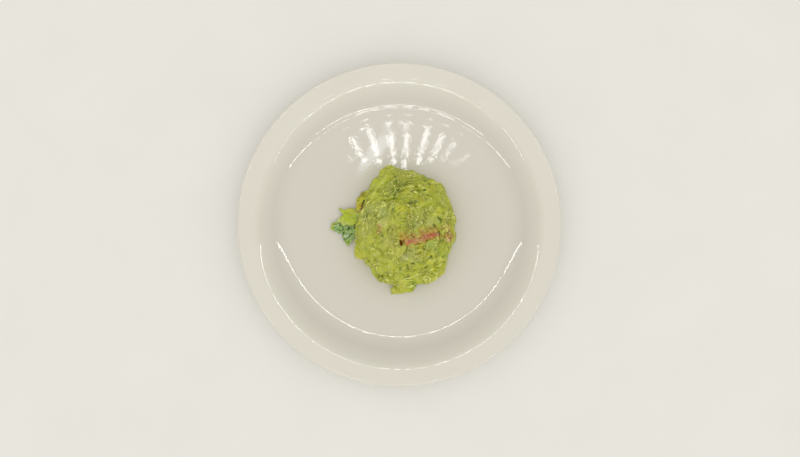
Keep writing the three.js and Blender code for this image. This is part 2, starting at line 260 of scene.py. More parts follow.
def glazed_porcelain(settings):
    """Porcelain fired under a clear gloss glaze: a warm white body, a little deeper in tone in
    the well, under a hard shine that ripples slightly and breaks up a lamp's reflection. A wipe
    has dried on it in one place as a faint pale film."""
    material, tree, place = new_material("porcelain_gloss_glazed")
    cloud = add_node(tree, "TexNoise", {"Vector": place, "Scale": 1 / (38 * MM), "Detail": 2.0})
    away = add_node(tree, "VectorMath", {0: place}, operation="LENGTH")
    ripple = add_node(tree, "TexNoise", {"Vector": place, "Scale": 1 / settings.ripple, "Detail": 0.0})
    wave = add_node(tree, "Bump", {"Height": ripple, "Strength": 0.12, "Distance": 0.04 * MM})
    wiped = add_node(
        tree, "Mapping",
        {"Vector": place, "Location": SMEAR_PLACE, "Rotation": SMEAR_TURN, "Scale": SMEAR_SIZE},
        vector_type="TEXTURE",
    )
    middle = add_node(tree, "TexGradient", {"Vector": wiped}, gradient_type="SPHERICAL")
    drag = add_node(tree, "TexNoise", {"Vector": wiped, "Scale": 4.0, "Detail": 5.0, "Distortion": 2.5})
    film = add_node(tree, "Math", {0: middle.outputs["Fac"], 1: drag}, operation="MULTIPLY")
    colour = layered(
        tree, settings.glaze,
        (cloud, 0, 1, 1, settings.glaze_shade),
        (away, *WELL_EDGE, 1, settings.well),
        (film, 0.15, 0.3, 0.7, settings.smear),
    )
    shader = add_node(
        tree, "BsdfPrincipled", {"Base Color": colour, "Roughness": 0.012, "IOR": 1.5, "Normal": wave}
    )
    add_node(tree, "OutputMaterial", {"Surface": shader})
    return material


def plate_profile():
    """Half of the plate's section, from the axis over the rim and back to the axis."""
    profile = [(0.0, FLOOR_TOP)]
    for (inner, _, _), (outer, _, rings) in zip(SECTION, SECTION[1:]):
        for ring in range(1, rings + 1):
            radius = inner + (outer - inner) * ring / rings
            profile.append((radius, plate_top(radius)))
    lip_radius, lip_height = profile[-1][0], profile[-1][1] - LIP
    for turn in range(75, -90, -15):
        angle = math.radians(turn)
        profile.append((lip_radius + LIP * math.cos(angle), lip_height + LIP * math.sin(angle)))
    under = [lip_radius, *(RIM_START - ring * UNDER_STEP for ring in range(UNDER_RINGS))]
    under += [FOOT_OUT + 3 * MM, FOOT_OUT + 1.2 * MM]
    inside = [FOOT_IN - 1.0 * MM, FOOT_IN - 2.5 * MM, FOOT_IN / 2, 0.0]
    profile += [(radius, plate_top(radius) - PLATE_THICKNESS) for radius in under]
    profile += [(FOOT_OUT, 1.0 * MM), (FOOT_OUT - 0.5 * MM, 0.0)]
    profile += [(FOOT_IN + 0.5 * MM, 0.0), (FOOT_IN, 1.0 * MM)]
    profile += [(radius, plate_top(radius) - PLATE_THICKNESS) for radius in inside]
    return profile


class GUACAMOLE_OT_plate(bpy.types.Operator):
    """Turns the plate from its section and glazes it"""

    bl_idname = "guacamole.plate"
    bl_label = "Plate"

    def execute(self, context):
        settings = context.scene.guacamole_plate
        bm = bmesh.new()
        corners = [bm.verts.new((radius, 0, height)) for radius, height in plate_profile()]
        sides = [bm.edges.new(pair) for pair in zip(corners, corners[1:])]
        bmesh.ops.spin(
            bm, geom=corners + sides, cent=(0, 0, 0), axis=UP,
            angle=math.tau, steps=settings.turns, use_merge=True,
        )
        bmesh.ops.remove_doubles(bm, verts=bm.verts, dist=MERGE)
        bmesh.ops.recalc_face_normals(bm, faces=bm.faces)
        finish_piece("glazed_plate", bm, glazed_porcelain(settings), "plate")
        return {"FINISHED"}


# ---------------- mash

MOUND_LOW, MOUND_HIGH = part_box("guacamole")
MOUND_MIDDLE = (MOUND_LOW + MOUND_HIGH) / 2


class MashSettings(bpy.types.PropertyGroup):
    """Sizes and colours of the guacamole."""

    cell: length_setting("Skin cell", "Side of the small squares that cover the mash", 0.45, 0.3)
    smear: length_setting("Smear width", "Width of the larger smears that the spoon left", 5.0)
    fold: length_setting("Fold width", "Width of the small folds within a smear", 2.2)
    lump: length_setting("Lump width", "Width of the soft lumps", 5.0)
    mash: colour_setting("Mash", "Main yellow green", "#b4bd39")
    yellow: colour_setting("Yellow mash", "Riper, yellower patches", "#c6c83c")
    grey: colour_setting("Dull mash", "Duller, greener patches", "#a8b453")
    # Painted shade: this olive is laid in the creases where shade falls.
    mash_crease_shade: colour_setting("Hollows", "Olive green in the creases", "#565e00")
    # Partly painted highlight: this pale also stands for small bright streaks of light on the wet mash.
    pale: colour_setting("Pale mash", "Cream green of threads and small bits", "#ecee84")


# Patches where the mash differs: place in mm, radius, strength, smoothness and colour. A smooth
# patch is a piece of avocado that the fork missed, and keeps less relief.
PATCHES = (
    (26, 18, 9, 0.8, 0.8, "#a3ad30"), (-9, -25, 7, 0.7, 0.5, "#acb53a"),
    (-15, 30, 8, 0.8, 0.6, "#c4cc40"), (-9, 36, 5, 0.8, 0.6, "#bac236"), (0, 37, 7, 0.7, 0.7, "#a3a93a"),
    (-30, -20, 5, 0.8, 0.5, "#bcc02c"), (-31, -23.5, 2.5, 0.9, 0.5, "#cfd03c"),
    (3, -46, 12, 0.8, 0.5, "#c6c844"), (-4, -48.5, 5, 0.5, 0.95, "#b8be38"),
    (9.3, -43.8, 3.6, 3.6, 0.3, "#8eac00"), (31, -20, 4, 0.7, 0.5, "#9fb430"),
    (2, -34, 3, 0.7, 0.3, "#9cb42c"), (28.5, -9, 2.5, 0.8, 0.4, "#a3bf48"),
    (23, -13, 6, 0.6, 0.2, "#97ae52"), (10.5, -0.5, 4.5, 0.6, 0.1, "#94a858"),
    (8, -20, 9, 0.5, 0.2, "#b8bf64"), (-4, -8, 6, 0.6, 0.3, "#c3c45e"), (2, -3, 5, 0.5, 0.2, "#bcc05e"),
    (24, -19, 6, 0.5, 0.3, "#b0bb48"), (-12, 10, 9, 0.6, 0, "#97a760"),
    (-22, -2, 9, 0.4, 0.55, "#adb252"), (-27, -4, 6, 0.4, 0.7, "#b4b850"),
    # The dark patch at (-23, 5.2) is painted shade on the left slope, and the dark olive patches at the
    # back, from y of 25 to 36 mm, are painted shade on the far side of the mound.
    (-20.4, 11.4, 5, 0.5, 0.6, "#a8ae5e"), (-23, 5.2, 4.5, 0.7, 0.6, "#8f9a48"),
    (-6.5, 25.5, 5, 0.5, 0.2, "#7f8b38"), (-9, -12, 5, 0.5, 0.4, "#c6c45c"),
    (9, -18, 5, 0.5, 0.1, "#c0c266"), (-1, -39, 6, 0.5, 0.6, "#aeb44a"),
    (-23, -12, 8, 0.5, 0.7, "#b3b548"), (-16, -22, 7, 0.5, 0.6, "#b5b748"),
    (-10, 1, 9, 0.6, 0.3, "#bfc060"), (14, 4, 8, 0.5, 0.2, "#bcc064"), (-2, -16, 8, 0.6, 0.3, "#c6c460"),
    (33, 5, 6, 0.6, 0, "#b8c05a"), (4, -22, 4, 0.6, 0, "#b9bd84"), (20, 3, 5, 0.5, 0, "#adb36a"),
    (0, 27, 8, 0.55, 0, "#868f3c"), (22, 36, 6, 0.5, 0.3, "#8e9a44"), (10, 30, 7, 0.4, 0.2, "#929c3a"),
    (3.2, -8.8, 3.4, 1.6, 0.4, "#dca648"), (9, -8, 3.2, 1.2, 0, "#b89c48"),
    (16, -5.6, 3.4, 1.2, 0, "#c09848"), (23, -3.6, 3.4, 1.2, 0, "#c6a458"),
    (32, -2.5, 3, 1, 0, "#c0ac58"), (-13.2, -1.4, 2, 0.95, 0, "#b8785a"),
    (-13.8, -4.8, 1.8, 0.95, 0, "#b5734c"),
)

# Rise of the relief in mm: smears, folds where the mash is firm and what looseness adds to them,
# lumps, grain, and how much lower the whole lies.
SMEAR_RISE = 5.4
FOLD_RISE = 0.4
LOOSE_FOLD_RISE = 2.6
LUMP_RISE = 1.7
GRAIN_RISE = 0.7
RELIEF_DROP = 2.0

# The relief sets in between these heights above the plate, is lower on steep sides by this
# share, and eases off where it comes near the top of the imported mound.
SET_IN = (0.4 * MM, 3 * MM)
STEEP_SHARE = 0.65
TOP_MARGIN = 0.8 * MM
PROUD_LIMIT = 0.5 * MM

# Dents in the mound's side: place in mm, radius and depth.
DENTS = (
    ((-12.8, 41.5), 4, 2.4), ((-17.5, 36), 4, 0.8), ((-1.5, 43), 4.5, 1.8), ((-28, -26.5), 4.5, 3.2),
    ((-13.2, -42.5), 5, 1.8), ((14.9, -43.8), 6, 1.8), ((41, 9), 7, 2.6), ((33, 25), 6, 1),
)

# Middle line of the tomato strip in mm, and how far mash covers its near end.
STRIP_START = Vector((2.1, -13.3))
STRIP_END = Vector((27.2, -6.3))
STRIP_TRIM = 2.2

# Mash banked up beside the strip, in mm: rise, distance from the middle line, half its width
# and the length over which its rise wanders.
BANK_RISE = 1.2
BANK_PLACE = 3.0
BANK_WIDTH = 1.1
BANK_WANDER = 2.2

# Beyond this distance from the middle, in mm, smears get longer the further out they lie.
FLOW_RING = 10

# Scraps of mash that stick out past the mound's edge, and one over the near end of the tomato
# strip: start and end in mm, and width.
SCRAPS = (
    ((-28, -17, 9.5), (-32.6, -25, 8.5), 3.2), ((-14.6, -34.5, 9), (-16.6, -42.6, 8), 1.5),
    ((3, -45.4, 8), (-7, -51.6, 7), 3.6), ((-7.4, 37, 9), (-9.2, 42.4, 8), 2.2),
    ((36, 5, 11), (39.8, 2.5, 10), 3), ((33, -13, 9), (37.6, -14, 8), 2.4),
    ((22, -38, 8.5), (25.6, -39.5, 8), 2.6), ((-0.4, -14, 31.7), (6, -12.2, 31.4), 6),
)

# Named folds as lines in mm: crests raised and painted pale as highlight, and creases lowered and painted
# dark as shade, and half the width of each kind.
HIGHLIGHT_FOLDS = (
    ((-27.7, 5.6), (-23, 13), (-19.7, 18.3), (-15, 25), (-9, 35)),
    ((-16.3, -33.8), (-9.6, -38.6), (1, -40), (9, -36.5), (19.8, -33.8), (27.8, -28)),
    ((9.6, 25.8), (14.4, 26.2), (18.4, 23)), ((-19, 10), (-14, 12.5), (-8, 13.5)),
    ((21, -25), (27, -21), (31, -19)), ((-22, -14), (-17, -20), (-13, -28)),
)
SHADE_FOLDS = (
    ((-1, 22.4), (3.2, 23.4)), ((8.5, 23), (14.4, 23.6)), ((5.7, 14.3), (10.4, 15.7), (14.4, 16.7)),
    ((26.5, 6), (28.5, 1.6)), ((-15.7, -35.6), (-11, -38.6)), ((19.8, -22.9), (27.8, -22)),
    ((-6, 9), (-4, 6)), ((-14.1, -5.9), (-9.6, -10.1)), ((-14.1, -13.2), (-9.9, -11.5)),
)
HIGHLIGHT_FOLD_WIDTH = 0.55
SHADE_FOLD_WIDTH = 0.65


def from_strip(spot):
    """Distance in mm from the middle line of the tomato strip."""
    return distance_to_line(spot, STRIP_START, STRIP_END)[0]


def flow_at(spot):
    """A place in mm in a frame that runs round the mound: what is drawn in it comes out as
    smears round the middle, pulled about a little."""
    across = spot.x - MOUND_MIDDLE.x / MM
    along = spot.y - MOUND_MIDDLE.y / MM
    turn = math.atan2(along, across)
    reach = math.hypot(across, along)
    ring = min(reach, FLOW_RING)
    away = reach + 0.6 * (MOUND_HIGH.z / MM - spot.z)
    return Vector((ring * math.cos(turn), ring * math.sin(turn), away)) + 6 * drift(spot / 9)


def mash_relief(spot, flow, settings):
    """At a spot in mm: how far the mash stands out, how deep it lies in a crease, which sets its painted
    shade, how much of a pale thread it is, which is partly painted highlight, and how loose it is, the
    last three from 0 to 1."""
    loose = smooth_step(noise.noise(spot / 8 + Vector((3, 8, 1))), -0.15, 0.35)
    sharp = smooth_step(noise.noise(spot / 5 + Vector((1, 5, 9))), -0.1, 0.3)
    smear = noise.noise(flow * MM / settings.smear)
    fold = noise.noise(flow * MM / settings.fold + Vector((9, 4, 2)))
    height = SMEAR_RISE * math.hypot(smear, 0.2 * (1 - sharp)) - RELIEF_DROP
    height += (FOLD_RISE + LOOSE_FOLD_RISE * loose) * math.hypot(fold, 0.25 * (1 - loose))
    height += LUMP_RISE * (0.45 - noise.voronoi(flow * MM / settings.lump)[0][0])
    height += GRAIN_RISE * loose * noise.noise(flow / 1.3)
    crease = max(sharp * (1 - abs(smear) / 0.08), 0.8 * loose * (1 - abs(fold) / 0.07), 0)
    thread = loose * max(1 - abs(abs(fold) - 0.16) / 0.06, 0)
    thread = max(thread, sharp * (1 - abs(abs(smear) - 0.15) / 0.04), 0)
    # Pale is painted highlight on the named crests, dark is painted shade in the named creases.
    pale = line_at(spot, HIGHLIGHT_FOLDS, HIGHLIGHT_FOLD_WIDTH)
    dark = line_at(spot, SHADE_FOLDS, SHADE_FOLD_WIDTH)
    height += 0.6 * pale - 0.8 * dark
    crease = max(crease, dark) * (1 - pale)
    return height, crease, max(thread, 1.3 * pale) * (1 - dark), loose


def line_at(spot, lines, width):
    """1 on the named lines, wandering a little, and 0 away from them."""
    wander = spot.xy + 0.9 * drift(spot / 2.5).xy
    nearest = min(
        distance_to_line(wander, Vector(start), Vector(end))[0]
        for line in lines
        for start, end in zip(line, line[1:])
    )
    return fall_off(nearest, width) * (0.6 + 0.6 * noise.noise(spot / 2))


def patch_at(spot, patches):
    """The patch colour at a spot in mm with its strength, and how smooth the surface is."""
    colour = Vector((0, 0, 0))
    strength = 0.0
    smooth = 0.0
    ragged = 1 + 0.35 * noise.noise(spot / 3)
    for x, y, radius, amount, smoothness, hex_colour in patches:
        share = fall_off(math.hypot(spot.x - x, spot.y - y) * ragged, 0.75 * radius)
        if share > 0.01:
            colour += amount * share * Vector(linear(hex_colour)[:3])
            strength += amount * share
            smooth = max(smooth, smoothness * share)
    if strength > 0:
        colour /= strength
    return (*colour, min(strength, 1)), smooth


def mashed_avocado(settings):
    """Ripe avocado mashed with a fork: a moist, soft yellow-green mass with thin pale strands, partly
    painted highlights, and painted olive shade in its hollows, with a broken wet shine."""
    material, tree, place = new_material("avocado_mashed_moist")
    ripeness = add_node(tree, "TexNoise", {"Vector": place, "Scale": 1 / (7 * MM), "Detail": 3.0})
    cloud = add_node(
        tree, "TexNoise", {"Vector": place, "Scale": 1 / (4.2 * MM), "Detail": 2.0, "Distortion": 0.8}
    )
    patch, crease, thread, flow, loose = (
        add_node(tree, "Attribute", attribute_name=name)
        for name in ("patch", "crease", "thread", "flow", "loose")
    )
    broken = add_node(tree, "Math", {0: thread.outputs["Fac"], 1: cloud}, operation="MULTIPLY")
    strands = add_node(
        tree, "TexNoise",
        {"Vector": flow.outputs["Vector"], "Scale": 1 / 1.3, "Detail": 3.0, "Distortion": 0.6},
    )
    stringy = add_node(
        tree, "Math", {0: loose.outputs["Fac"], 1: 0.19, 2: strands}, operation="MULTIPLY_ADD"
    )
    colour = layered(
        tree, settings.mash,
        (ripeness, 0.42, 0.6, 1, settings.yellow),
        (cloud, 0.5, 0.64, 0.75, settings.grey),
        (patch.outputs["Alpha"], 0, 1, 1, patch.outputs["Color"]),
        # Painted shade in the creases.
        (crease.outputs["Fac"], 0.1, 0.9, 0.95, settings.mash_crease_shade),
        # Pale threads and strands: partly pale strands of avocado, partly painted highlights of the wet
        # mash.
        (broken, 0.14, 0.42, 0.85, settings.pale),
        (stringy, 0.7, 0.75, 1, settings.pale),
    )
    wet = add_node(
        tree, "MapRange",
        {"Value": cloud, "From Min": 0.4, "From Max": 0.6, "To Min": 0.32, "To Max": 0.12},
    )
    pitted = add_node(tree, "Math", {0: strands, 1: loose.outputs["Fac"]}, operation="MULTIPLY")
    rough = add_node(tree, "Bump", {"Height": pitted, "Strength": 1.0, "Distance": 2.3 * MM})
    shader = add_node(
        tree, "BsdfPrincipled",
        {
            "Base Color": colour, "Roughness": wet, "IOR": 1.4, "Normal": rough,
            "Subsurface Weight": 0.1, "Subsurface Radius": (1.4, 1.2, 0.4), "Subsurface Scale": MM,
        },
    )
    add_node(tree, "OutputMaterial", {"Surface": shader})
    return material


class GUACAMOLE_OT_mash(bpy.types.Operator):
    """Gives the mound its mashed surface and its colours"""

    bl_idname = "guacamole.mash"
    bl_label = "Mash"

    def execute(self, context):
        settings = context.scene.guacamole_mash
        bm = solid_copy("guacamole")
        for start, end, width in SCRAPS:
            self.add_scrap(bm, Vector(start) * MM, Vector(end) * MM, width * MM)
        bm = evenly_skinned(bm, settings.cell)
        for _ in range(3):
            bmesh.ops.smooth_vert(
                bm, verts=bm.verts, factor=0.5, use_axis_x=True, use_axis_y=True, use_axis_z=True
            )
        bm.normal_update()
        crease_shade_layer, thread_layer, loose_layer = (
            bm.verts.layers.float.new(name) for name in ("crease", "thread", "loose")
        )
        flow_layer = bm.verts.layers.float_vector.new("flow")
        patch_layer = bm.verts.layers.float_color.new("patch")
        for vert in bm.verts:
            spot = vert.co / MM
            vert[patch_layer], smooth = patch_at(spot, PATCHES)
            flow = flow_at(spot)
            height, crease, thread, loose = mash_relief(spot, flow, settings)
            vert[flow_layer] = flow
            vert[crease_shade_layer] = crease * (1 - smooth)
            vert[thread_layer] = thread * (1 - smooth)
            vert[loose_layer] = (0.25 + 0.75 * loose) * (1 - smooth)
            lift = smooth_step(vert.co.z - plate_top(vert.co.xy.length), *SET_IN)
            steep = 1 - STEEP_SHARE * (1 - smooth_step(vert.normal.z, 0, 0.5))
            bank = BANK_RISE * fall_off(from_strip(spot.xy) - BANK_PLACE, BANK_WIDTH)
            bank *= 1 + noise.noise(spot / BANK_WANDER)
            vert.co += vert.normal * (height * (1 - smooth) + bank) * lift * steep * MM
            for place, radius, depth in DENTS:
                pushed = depth * fall_off((spot.xy - Vector(place)).length, 0.6 * radius)
                vert.co.xy += pushed * (MOUND_MIDDLE.xy - vert.co.xy).normalized() * MM
            proud = max(vert.co.z - MOUND_HIGH.z + TOP_MARGIN, 0)
            vert.co.z += PROUD_LIMIT * math.tanh(proud / PROUD_LIMIT) - proud
        finish_piece("mashed_avocado", bm, mashed_avocado(settings), "guacamole")
        return {"FINISHED"}

    def add_scrap(self, bm, start, end, width):
        """A flattened drop that narrows to a point at its end."""
        along = end - start
        lean = Vector((1, 0, 0)).rotation_difference(along).to_matrix().to_4x4()
        made = bmesh.ops.create_icosphere(bm, subdivisions=3, radius=0.5)["verts"]
        for vert in made:
            share = vert.co.x + 0.5
            girth = 2 * math.sqrt(max(1 - share, 0)) * (0.4 + 0.6 * (1 - share))
            spread = Vector((0, vert.co.y, vert.co.z))
            if spread.length > 0:
                spread *= girth * 0.5 * min(1, 4 * share) / max(spread.length, 0.05)
            vert.co = (share * along.length, spread.y * width, 0.6 * spread.z * width)
        bmesh.ops.transform(bm, matrix=Matrix.Translation(start) @ lean, verts=made)


# ---------------- tomato

STRIP_ALONG = (STRIP_END - STRIP_START).normalized()

# Side of the small squares that cover the flesh and the skin, and on each the width of the
# lumps and their rise.
FLESH_CELL = 0.35 * MM
SKIN_CELL = 0.4 * MM
FLESH_LUMPS = (2.4 * MM, 0.6 * MM)
SKIN_LUMPS = (2.0 * MM, 1.5 * MM)

# Patches on the tomato, laid out as those of the mash.
FLESH_PATCHES = (
    (4.4, -12.2, 1.8, 1.3, 0, "#d0984e"), (6.8, -12.2, 1.6, 1.3, 0, "#b05248"),
    (9.4, -10.4, 1.3, 1.1, 0, "#bc6c50"), (8, -9.4, 1.1, 1.2, 0, "#c8a460"),
    (14.4, -9.2, 1.1, 1, 0, "#9a5630"), (22, -6.6, 1.5, 0.9, 0, "#b85a34"),
    (8.6, -11, 1.3, 0.9, 0, "#b88a58"), (12.3, -7.9, 1.8, 1.6, 0, "#f0e29c"),
    (12, -10.6, 2.2, 1, 0, "#c4a064"), (15.4, -10.9, 1.4, 0.9, 0, "#c29a62"),
    (17.4, -9.4, 2.2, 0.8, 0, "#a2603a"), (20, -7.4, 2.2, 0.8, 0, "#ab6238"),
    (24.5, -4.8, 1.4, 1, 0, "#c0a464"), (24, -7.4, 1.6, 0.7, 0, "#a85e36"),
    (26.5, -5.5, 1.8, 0.9, 0, "#94785a"), (33.5, -8.4, 5.5, 0.6, 0, "#a47a40"),
    (33, -1.2, 2.6, 1.4, 0, "#a9a548"), (31.2, -4.6, 2.2, 1.3, 0, "#b3a04e"),
    (34.3, -7, 1.2, 1.5, 0, "#7a501e"), (32.6, -6.8, 1.1, 1.2, 0, "#b9904c"),
    (31.2, -8.4, 1.1, 1.4, 0, "#80602a"), (32.4, -9.6, 1.2, 1.3, 0, "#a87c46"),
    # The cream patch at (33.9, -10.8) is a painted highlight on the end chunk.
    (34.8, -8.8, 1.2, 1.5, 0, "#a0703a"), (33.9, -10.8, 1.1, 1.7, 0, "#f2dca0"),
    (36, -9.8, 1.2, 1.4, 0, "#86602a"), (36.6, -7.6, 1.2, 1.3, 0, "#a8903c"),
    (34.2, -12.6, 1.3, 1.3, 0, "#b0a04c"),
)
SKIN_PATCHES = (
    # The pale yellow spot at (-30.2, 15) is a painted highlight, and the near-black spots at (-25, 17)
    # and (-26.1, 15.2) are painted shadow in the curl of the skin.
    (-32.1, 15.5, 1.3, 1.2, 0, "#e0bc50"), (-31.8, 12.4, 1.3, 1.2, 0, "#e0c44c"),
    (-30.2, 15, 0.9, 1.2, 0, "#efdc80"), (-28.6, 13.6, 1.7, 1.2, 0, "#c8b60c"),
    (-25, 17, 1.15, 1.5, 0, "#1c180a"), (-26.1, 15.2, 1.1, 1.5, 0, "#2e2108"),
    (-26.4, 13.4, 1.2, 1.4, 0, "#5c3408"), (-26.9, 11.4, 1.2, 1.2, 0, "#7c4422"),
    (-28.4, 9, 1.2, 1, 0, "#c09470"), (-26.1, 20.5, 2.2, 0.8, 0, "#a9ac22"),
    (-26.4, 22.6, 2.4, 1.2, 0, "#a2a826"), (-28.8, 20.2, 1.6, 1, 0, "#b0b02a"),
    (-27.8, 18.6, 1.4, 0.9, 0, "#c8c84c"), (-29.6, 17.2, 1.2, 0.8, 0, "#8e8a1c"),
    (-30.4, 9.4, 1.4, 0.8, 0, "#968a2e"),
)


class TomatoSettings(bpy.types.PropertyGroup):
    """Colours of the tomato pieces."""

    flesh: colour_setting("Flesh", "Brown orange red of the wet flesh", "#b86e3e")
    flesh_pale: colour_setting("Pale flesh", "Pale orange fibres", "#dab078")
    rim: colour_setting("Rim", "Tan border near the skin", "#c2a04c")
    skin: colour_setting("Skin flake", "Yellow green of the smeared skin", "#d2d82e")
    smear: colour_setting("Smear", "Avocado smeared over it", "#bba44c")


def tomato_wet(name, settings, base):
    """Ripe tomato cut and smeared with avocado: wet flesh with pale fibres and an orange
    border, under an uneven film of avocado."""
    material, tree, place = new_material(name)
    fibre, wobble = (
        add_node(
            tree, "TexNoise",
            {"Vector": place, "Scale": 1 / (width * MM), "Detail": 3.0, "Roughness": roughness},
        )
        for width, roughness in ((1.2, 0.6), (2.6, 0.65))
    )
    patch = add_node(tree, "Attribute", attribute_name="patch")
    side = add_node(tree, "Attribute", attribute_name="side")
    ragged = add_node(tree, "Math", {0: side.outputs["Fac"], 1: wobble}, operation="ADD")
    colour = layered(
        tree, base,
        (patch.outputs["Alpha"], 0, 1, 1, patch.outputs["Color"]),
        (fibre, 0.54, 0.68, 0.75, settings.flesh_pale),
        (ragged, 0.85, 1.15, 0.95, settings.rim),
        (ragged, 1.1, 1.5, 0.85, settings.smear),
    )
    pulp = add_node(tree, "Bump", {"Height": fibre, "Strength": 0.9, "Distance": 0.9 * MM})
    shader = add_node(
        tree, "BsdfPrincipled",
        {
            "Base Color": colour, "Roughness": 0.2, "IOR": 1.4, "Normal": pulp,
            "Subsurface Weight": 0.12, "Subsurface Radius": (1.6, 0.7, 0.3), "Subsurface Scale": MM,
        },
    )
    add_node(tree, "OutputMaterial", {"Surface": shader})
    return material


def long_axis(verts):
    """The middle and the long direction of some vertices, seen from above."""
    places = np.array([vert.co.xy for vert in verts])
    middle = places.mean(0)
    _, directions = np.linalg.eigh(np.cov((places - middle).T))
    return Vector(middle), Vector(directions[:, 1])


def ruffle(bm, width, rise):
    """Moves a skin in and out: width of a lump and its rise, both in metres."""
    bm.normal_update()
    for vert in bm.verts:
        spot = vert.co / width
        vert.co += vert.normal * rise * (noise.noise(spot) + 0.5 * noise.noise(2.3 * spot))


class GUACAMOLE_OT_tomato(bpy.types.Operator):
    """Makes the strip, the end chunk and the skin flake of tomato"""

    bl_idname = "guacamole.tomato"
    bl_label = "Tomato"

    def execute(self, context):
        settings = context.scene.guacamole_tomato
        flesh = tomato_wet("tomato_cut_wet", settings, settings.flesh)
        skin = tomato_wet("tomato_skin_smeared", settings, settings.skin)
        self.add_flesh("tomato_strip", "tomato_strip_wet", flesh)
        self.add_flesh("tomato_end", "tomato_end_wet", flesh)
        self.add_skin("tomato_skin", "tomato_skin_flake", skin)
        return {"FINISHED"}

    def add_flesh(self, node, name, material):
        bm = evenly_skinned(solid_copy(node), FLESH_CELL)
        middle, along = long_axis(bm.verts)
        across = Vector((-along.y, along.x))
        reach = max(abs((vert.co.xy - middle).dot(across)) for vert in bm.verts)
        side_layer = bm.verts.layers.float.new("side")
        for vert in bm.verts:
            vert[side_layer] = abs((vert.co.xy - middle).dot(across)) / reach
            share = (vert.co.xy / MM - STRIP_START).dot(STRIP_ALONG)
            vert.co.xy += STRIP_ALONG * STRIP_TRIM * (1 - smooth_step(share, -1, 5)) * MM
        self.add_patches(bm, FLESH_PATCHES)
        bm.normal_update()
        for vert in bm.verts:
            vert.co += vert.normal * (0.2 - 0.5 * vert[side_layer] ** 2) * MM
        ruffle(bm, *FLESH_LUMPS)
        finish_piece(name, bm, material, node)

    def add_skin(self, node, name, material):
        bm = evenly_skinned(solid_copy(node), SKIN_CELL)
        bm.verts.layers.float.new("side")
        self.add_patches(bm, SKIN_PATCHES)
        ruffle(bm, *SKIN_LUMPS)
        finish_piece(name, bm, material, node)

    def add_patches(self, bm, patches):
        layer = bm.verts.layers.float_color.new("patch")
        for vert in bm.verts:
            vert[layer], _ = patch_at(vert.co / MM, patches)


# ---------------- bits in the mash

# Chopped herb in the surface: place, length and turn in mm and degrees.
HERB_FLECKS = (
    (-2.6, 32.5, 3.4, 70), (-2, 29.5, 3, 20), (-1, 23.8, 2, 85), (-2, 22, 2, 50), (-3.2, 20, 1.8, 20),
    (-3.6, 18.4, 2.2, 70), (-4.6, 16.8, 1.8, 30), (-2.2, 18.8, 1.6, 120), (7.5, 14.9, 4, 10),
    (11.8, 15.7, 3.4, 25), (17.4, 23.6, 3.2, -30), (12.6, 25.4, 3.2, -15), (-4.7, 10.5, 2.8, 40),
    (-3.4, 8.6, 2.4, 110), (28.4, 3.3, 3, 75), (9.2, -42.8, 1, 0), (21.8, -22.5, 3.4, 5),
    (9.9, -26.8, 4.6, 25), (0.8, -29.8, 3.6, 100), (-12.6, -36, 3.6, -40), (19, 30.4, 2.6, 10),
    (-22, 6.7, 3, 80),
)
# Where small herb specks lie thickest: place and spread in mm, and how many.
HERB_DRIFTS = ((0, 27, 7, 40), (10, 18, 8, 26), (-14, 8, 9, 22), (4, -4, 26, 40), (2, -28, 9, 14))

# The chilli fleck, laid out as the herb.
CHILLI_FLECK = (0.6, -12.7, 4.6, 116)

# The pale threads, partly pale strands and partly painted highlights of the wet mash, lie within an oval
# round the mound's middle: half its size in mm.
THREAD_OVAL = (36, 42)

# Bits sit where the surface faces up by more than this, and this far in mm from the strip.
HERB_UP = 0.25
HERB_CLEAR = 5
ONION_UP = 0.15
THREAD_UP = 0.45
THREAD_CLEAR = 3

# How many bits lie along the sides of the tomato strip, and how strongly they are stained.
STRIP_BITS = 110
STRIP_STAIN = 0.85

# Width of a named shred of herb and thickness of every shred.
SHRED_WIDTH = 1.3 * MM
SHRED_THICKNESS = 0.22 * MM


class BitSettings(bpy.types.PropertyGroup):
    """Sizes and colours of what is chopped into the mash."""

    seed: IntProperty(name="Seed", description="Start of the random draws", default=11)
    onion_count: IntProperty(name="Onion bits", description="Number of onion bits", default=300)
    thread_count: IntProperty(name="Threads", description="Number of pale threads", default=300)
    herb: colour_setting("Herb", "Dark green of chopped herb", "#536618")
    # The paler patches are partly the herb's own tone and partly painted glints.
    herb_pale_glint: colour_setting("Pale herb", "Paler, greyer green of its undersides", "#8a9a4a")
    onion: colour_setting("Onion", "Cream of chopped onion", "#ced08a")
    onion_green: colour_setting("Green onion", "Green of onion soaked in avocado", "#bcc258")
    tint: colour_setting("Stained avocado", "Tan of avocado beside the tomato", "#bfa650")
    tomato_tint: colour_setting("Tomato bits", "Orange brown of tomato bits", "#be9648")
    chilli: colour_setting("Chilli", "Dark red brown of the chilli fleck", "#361a00")
    # Orange brown patches: partly the thin skin, partly painted highlight.
    chilli_thin_glint: colour_setting("Thin chilli", "Brown where its skin is thin", "#7c4800")


def surface_of(*names):
    """A search tree over some finished pieces."""
    bm = bmesh.new()
    for name in names:
        bm.from_mesh(bpy.data.objects[name].data)
    tree = BVHTree.FromBMesh(bm)
    bm.free()
    return tree


def seat_on(tree, x, y):
    """The point and outward normal of the surface under a place in mm, or None."""
    hit, normal, _, _ = tree.ray_cast(Vector((x * MM, y * MM, RAY_HEIGHT)), -UP)
    return (hit, normal) if hit is not None else None


def seat_matrix(hit, normal, turn_degrees, sink=0.0):
    """Places a bit on a surface, turned about the surface's normal."""
    lean = UP.rotation_difference(normal).to_matrix().to_4x4()
    turn = Matrix.Rotation(math.radians(turn_degrees), 4, "Z")
    return Matrix.Translation(hit - normal * sink) @ lean @ turn


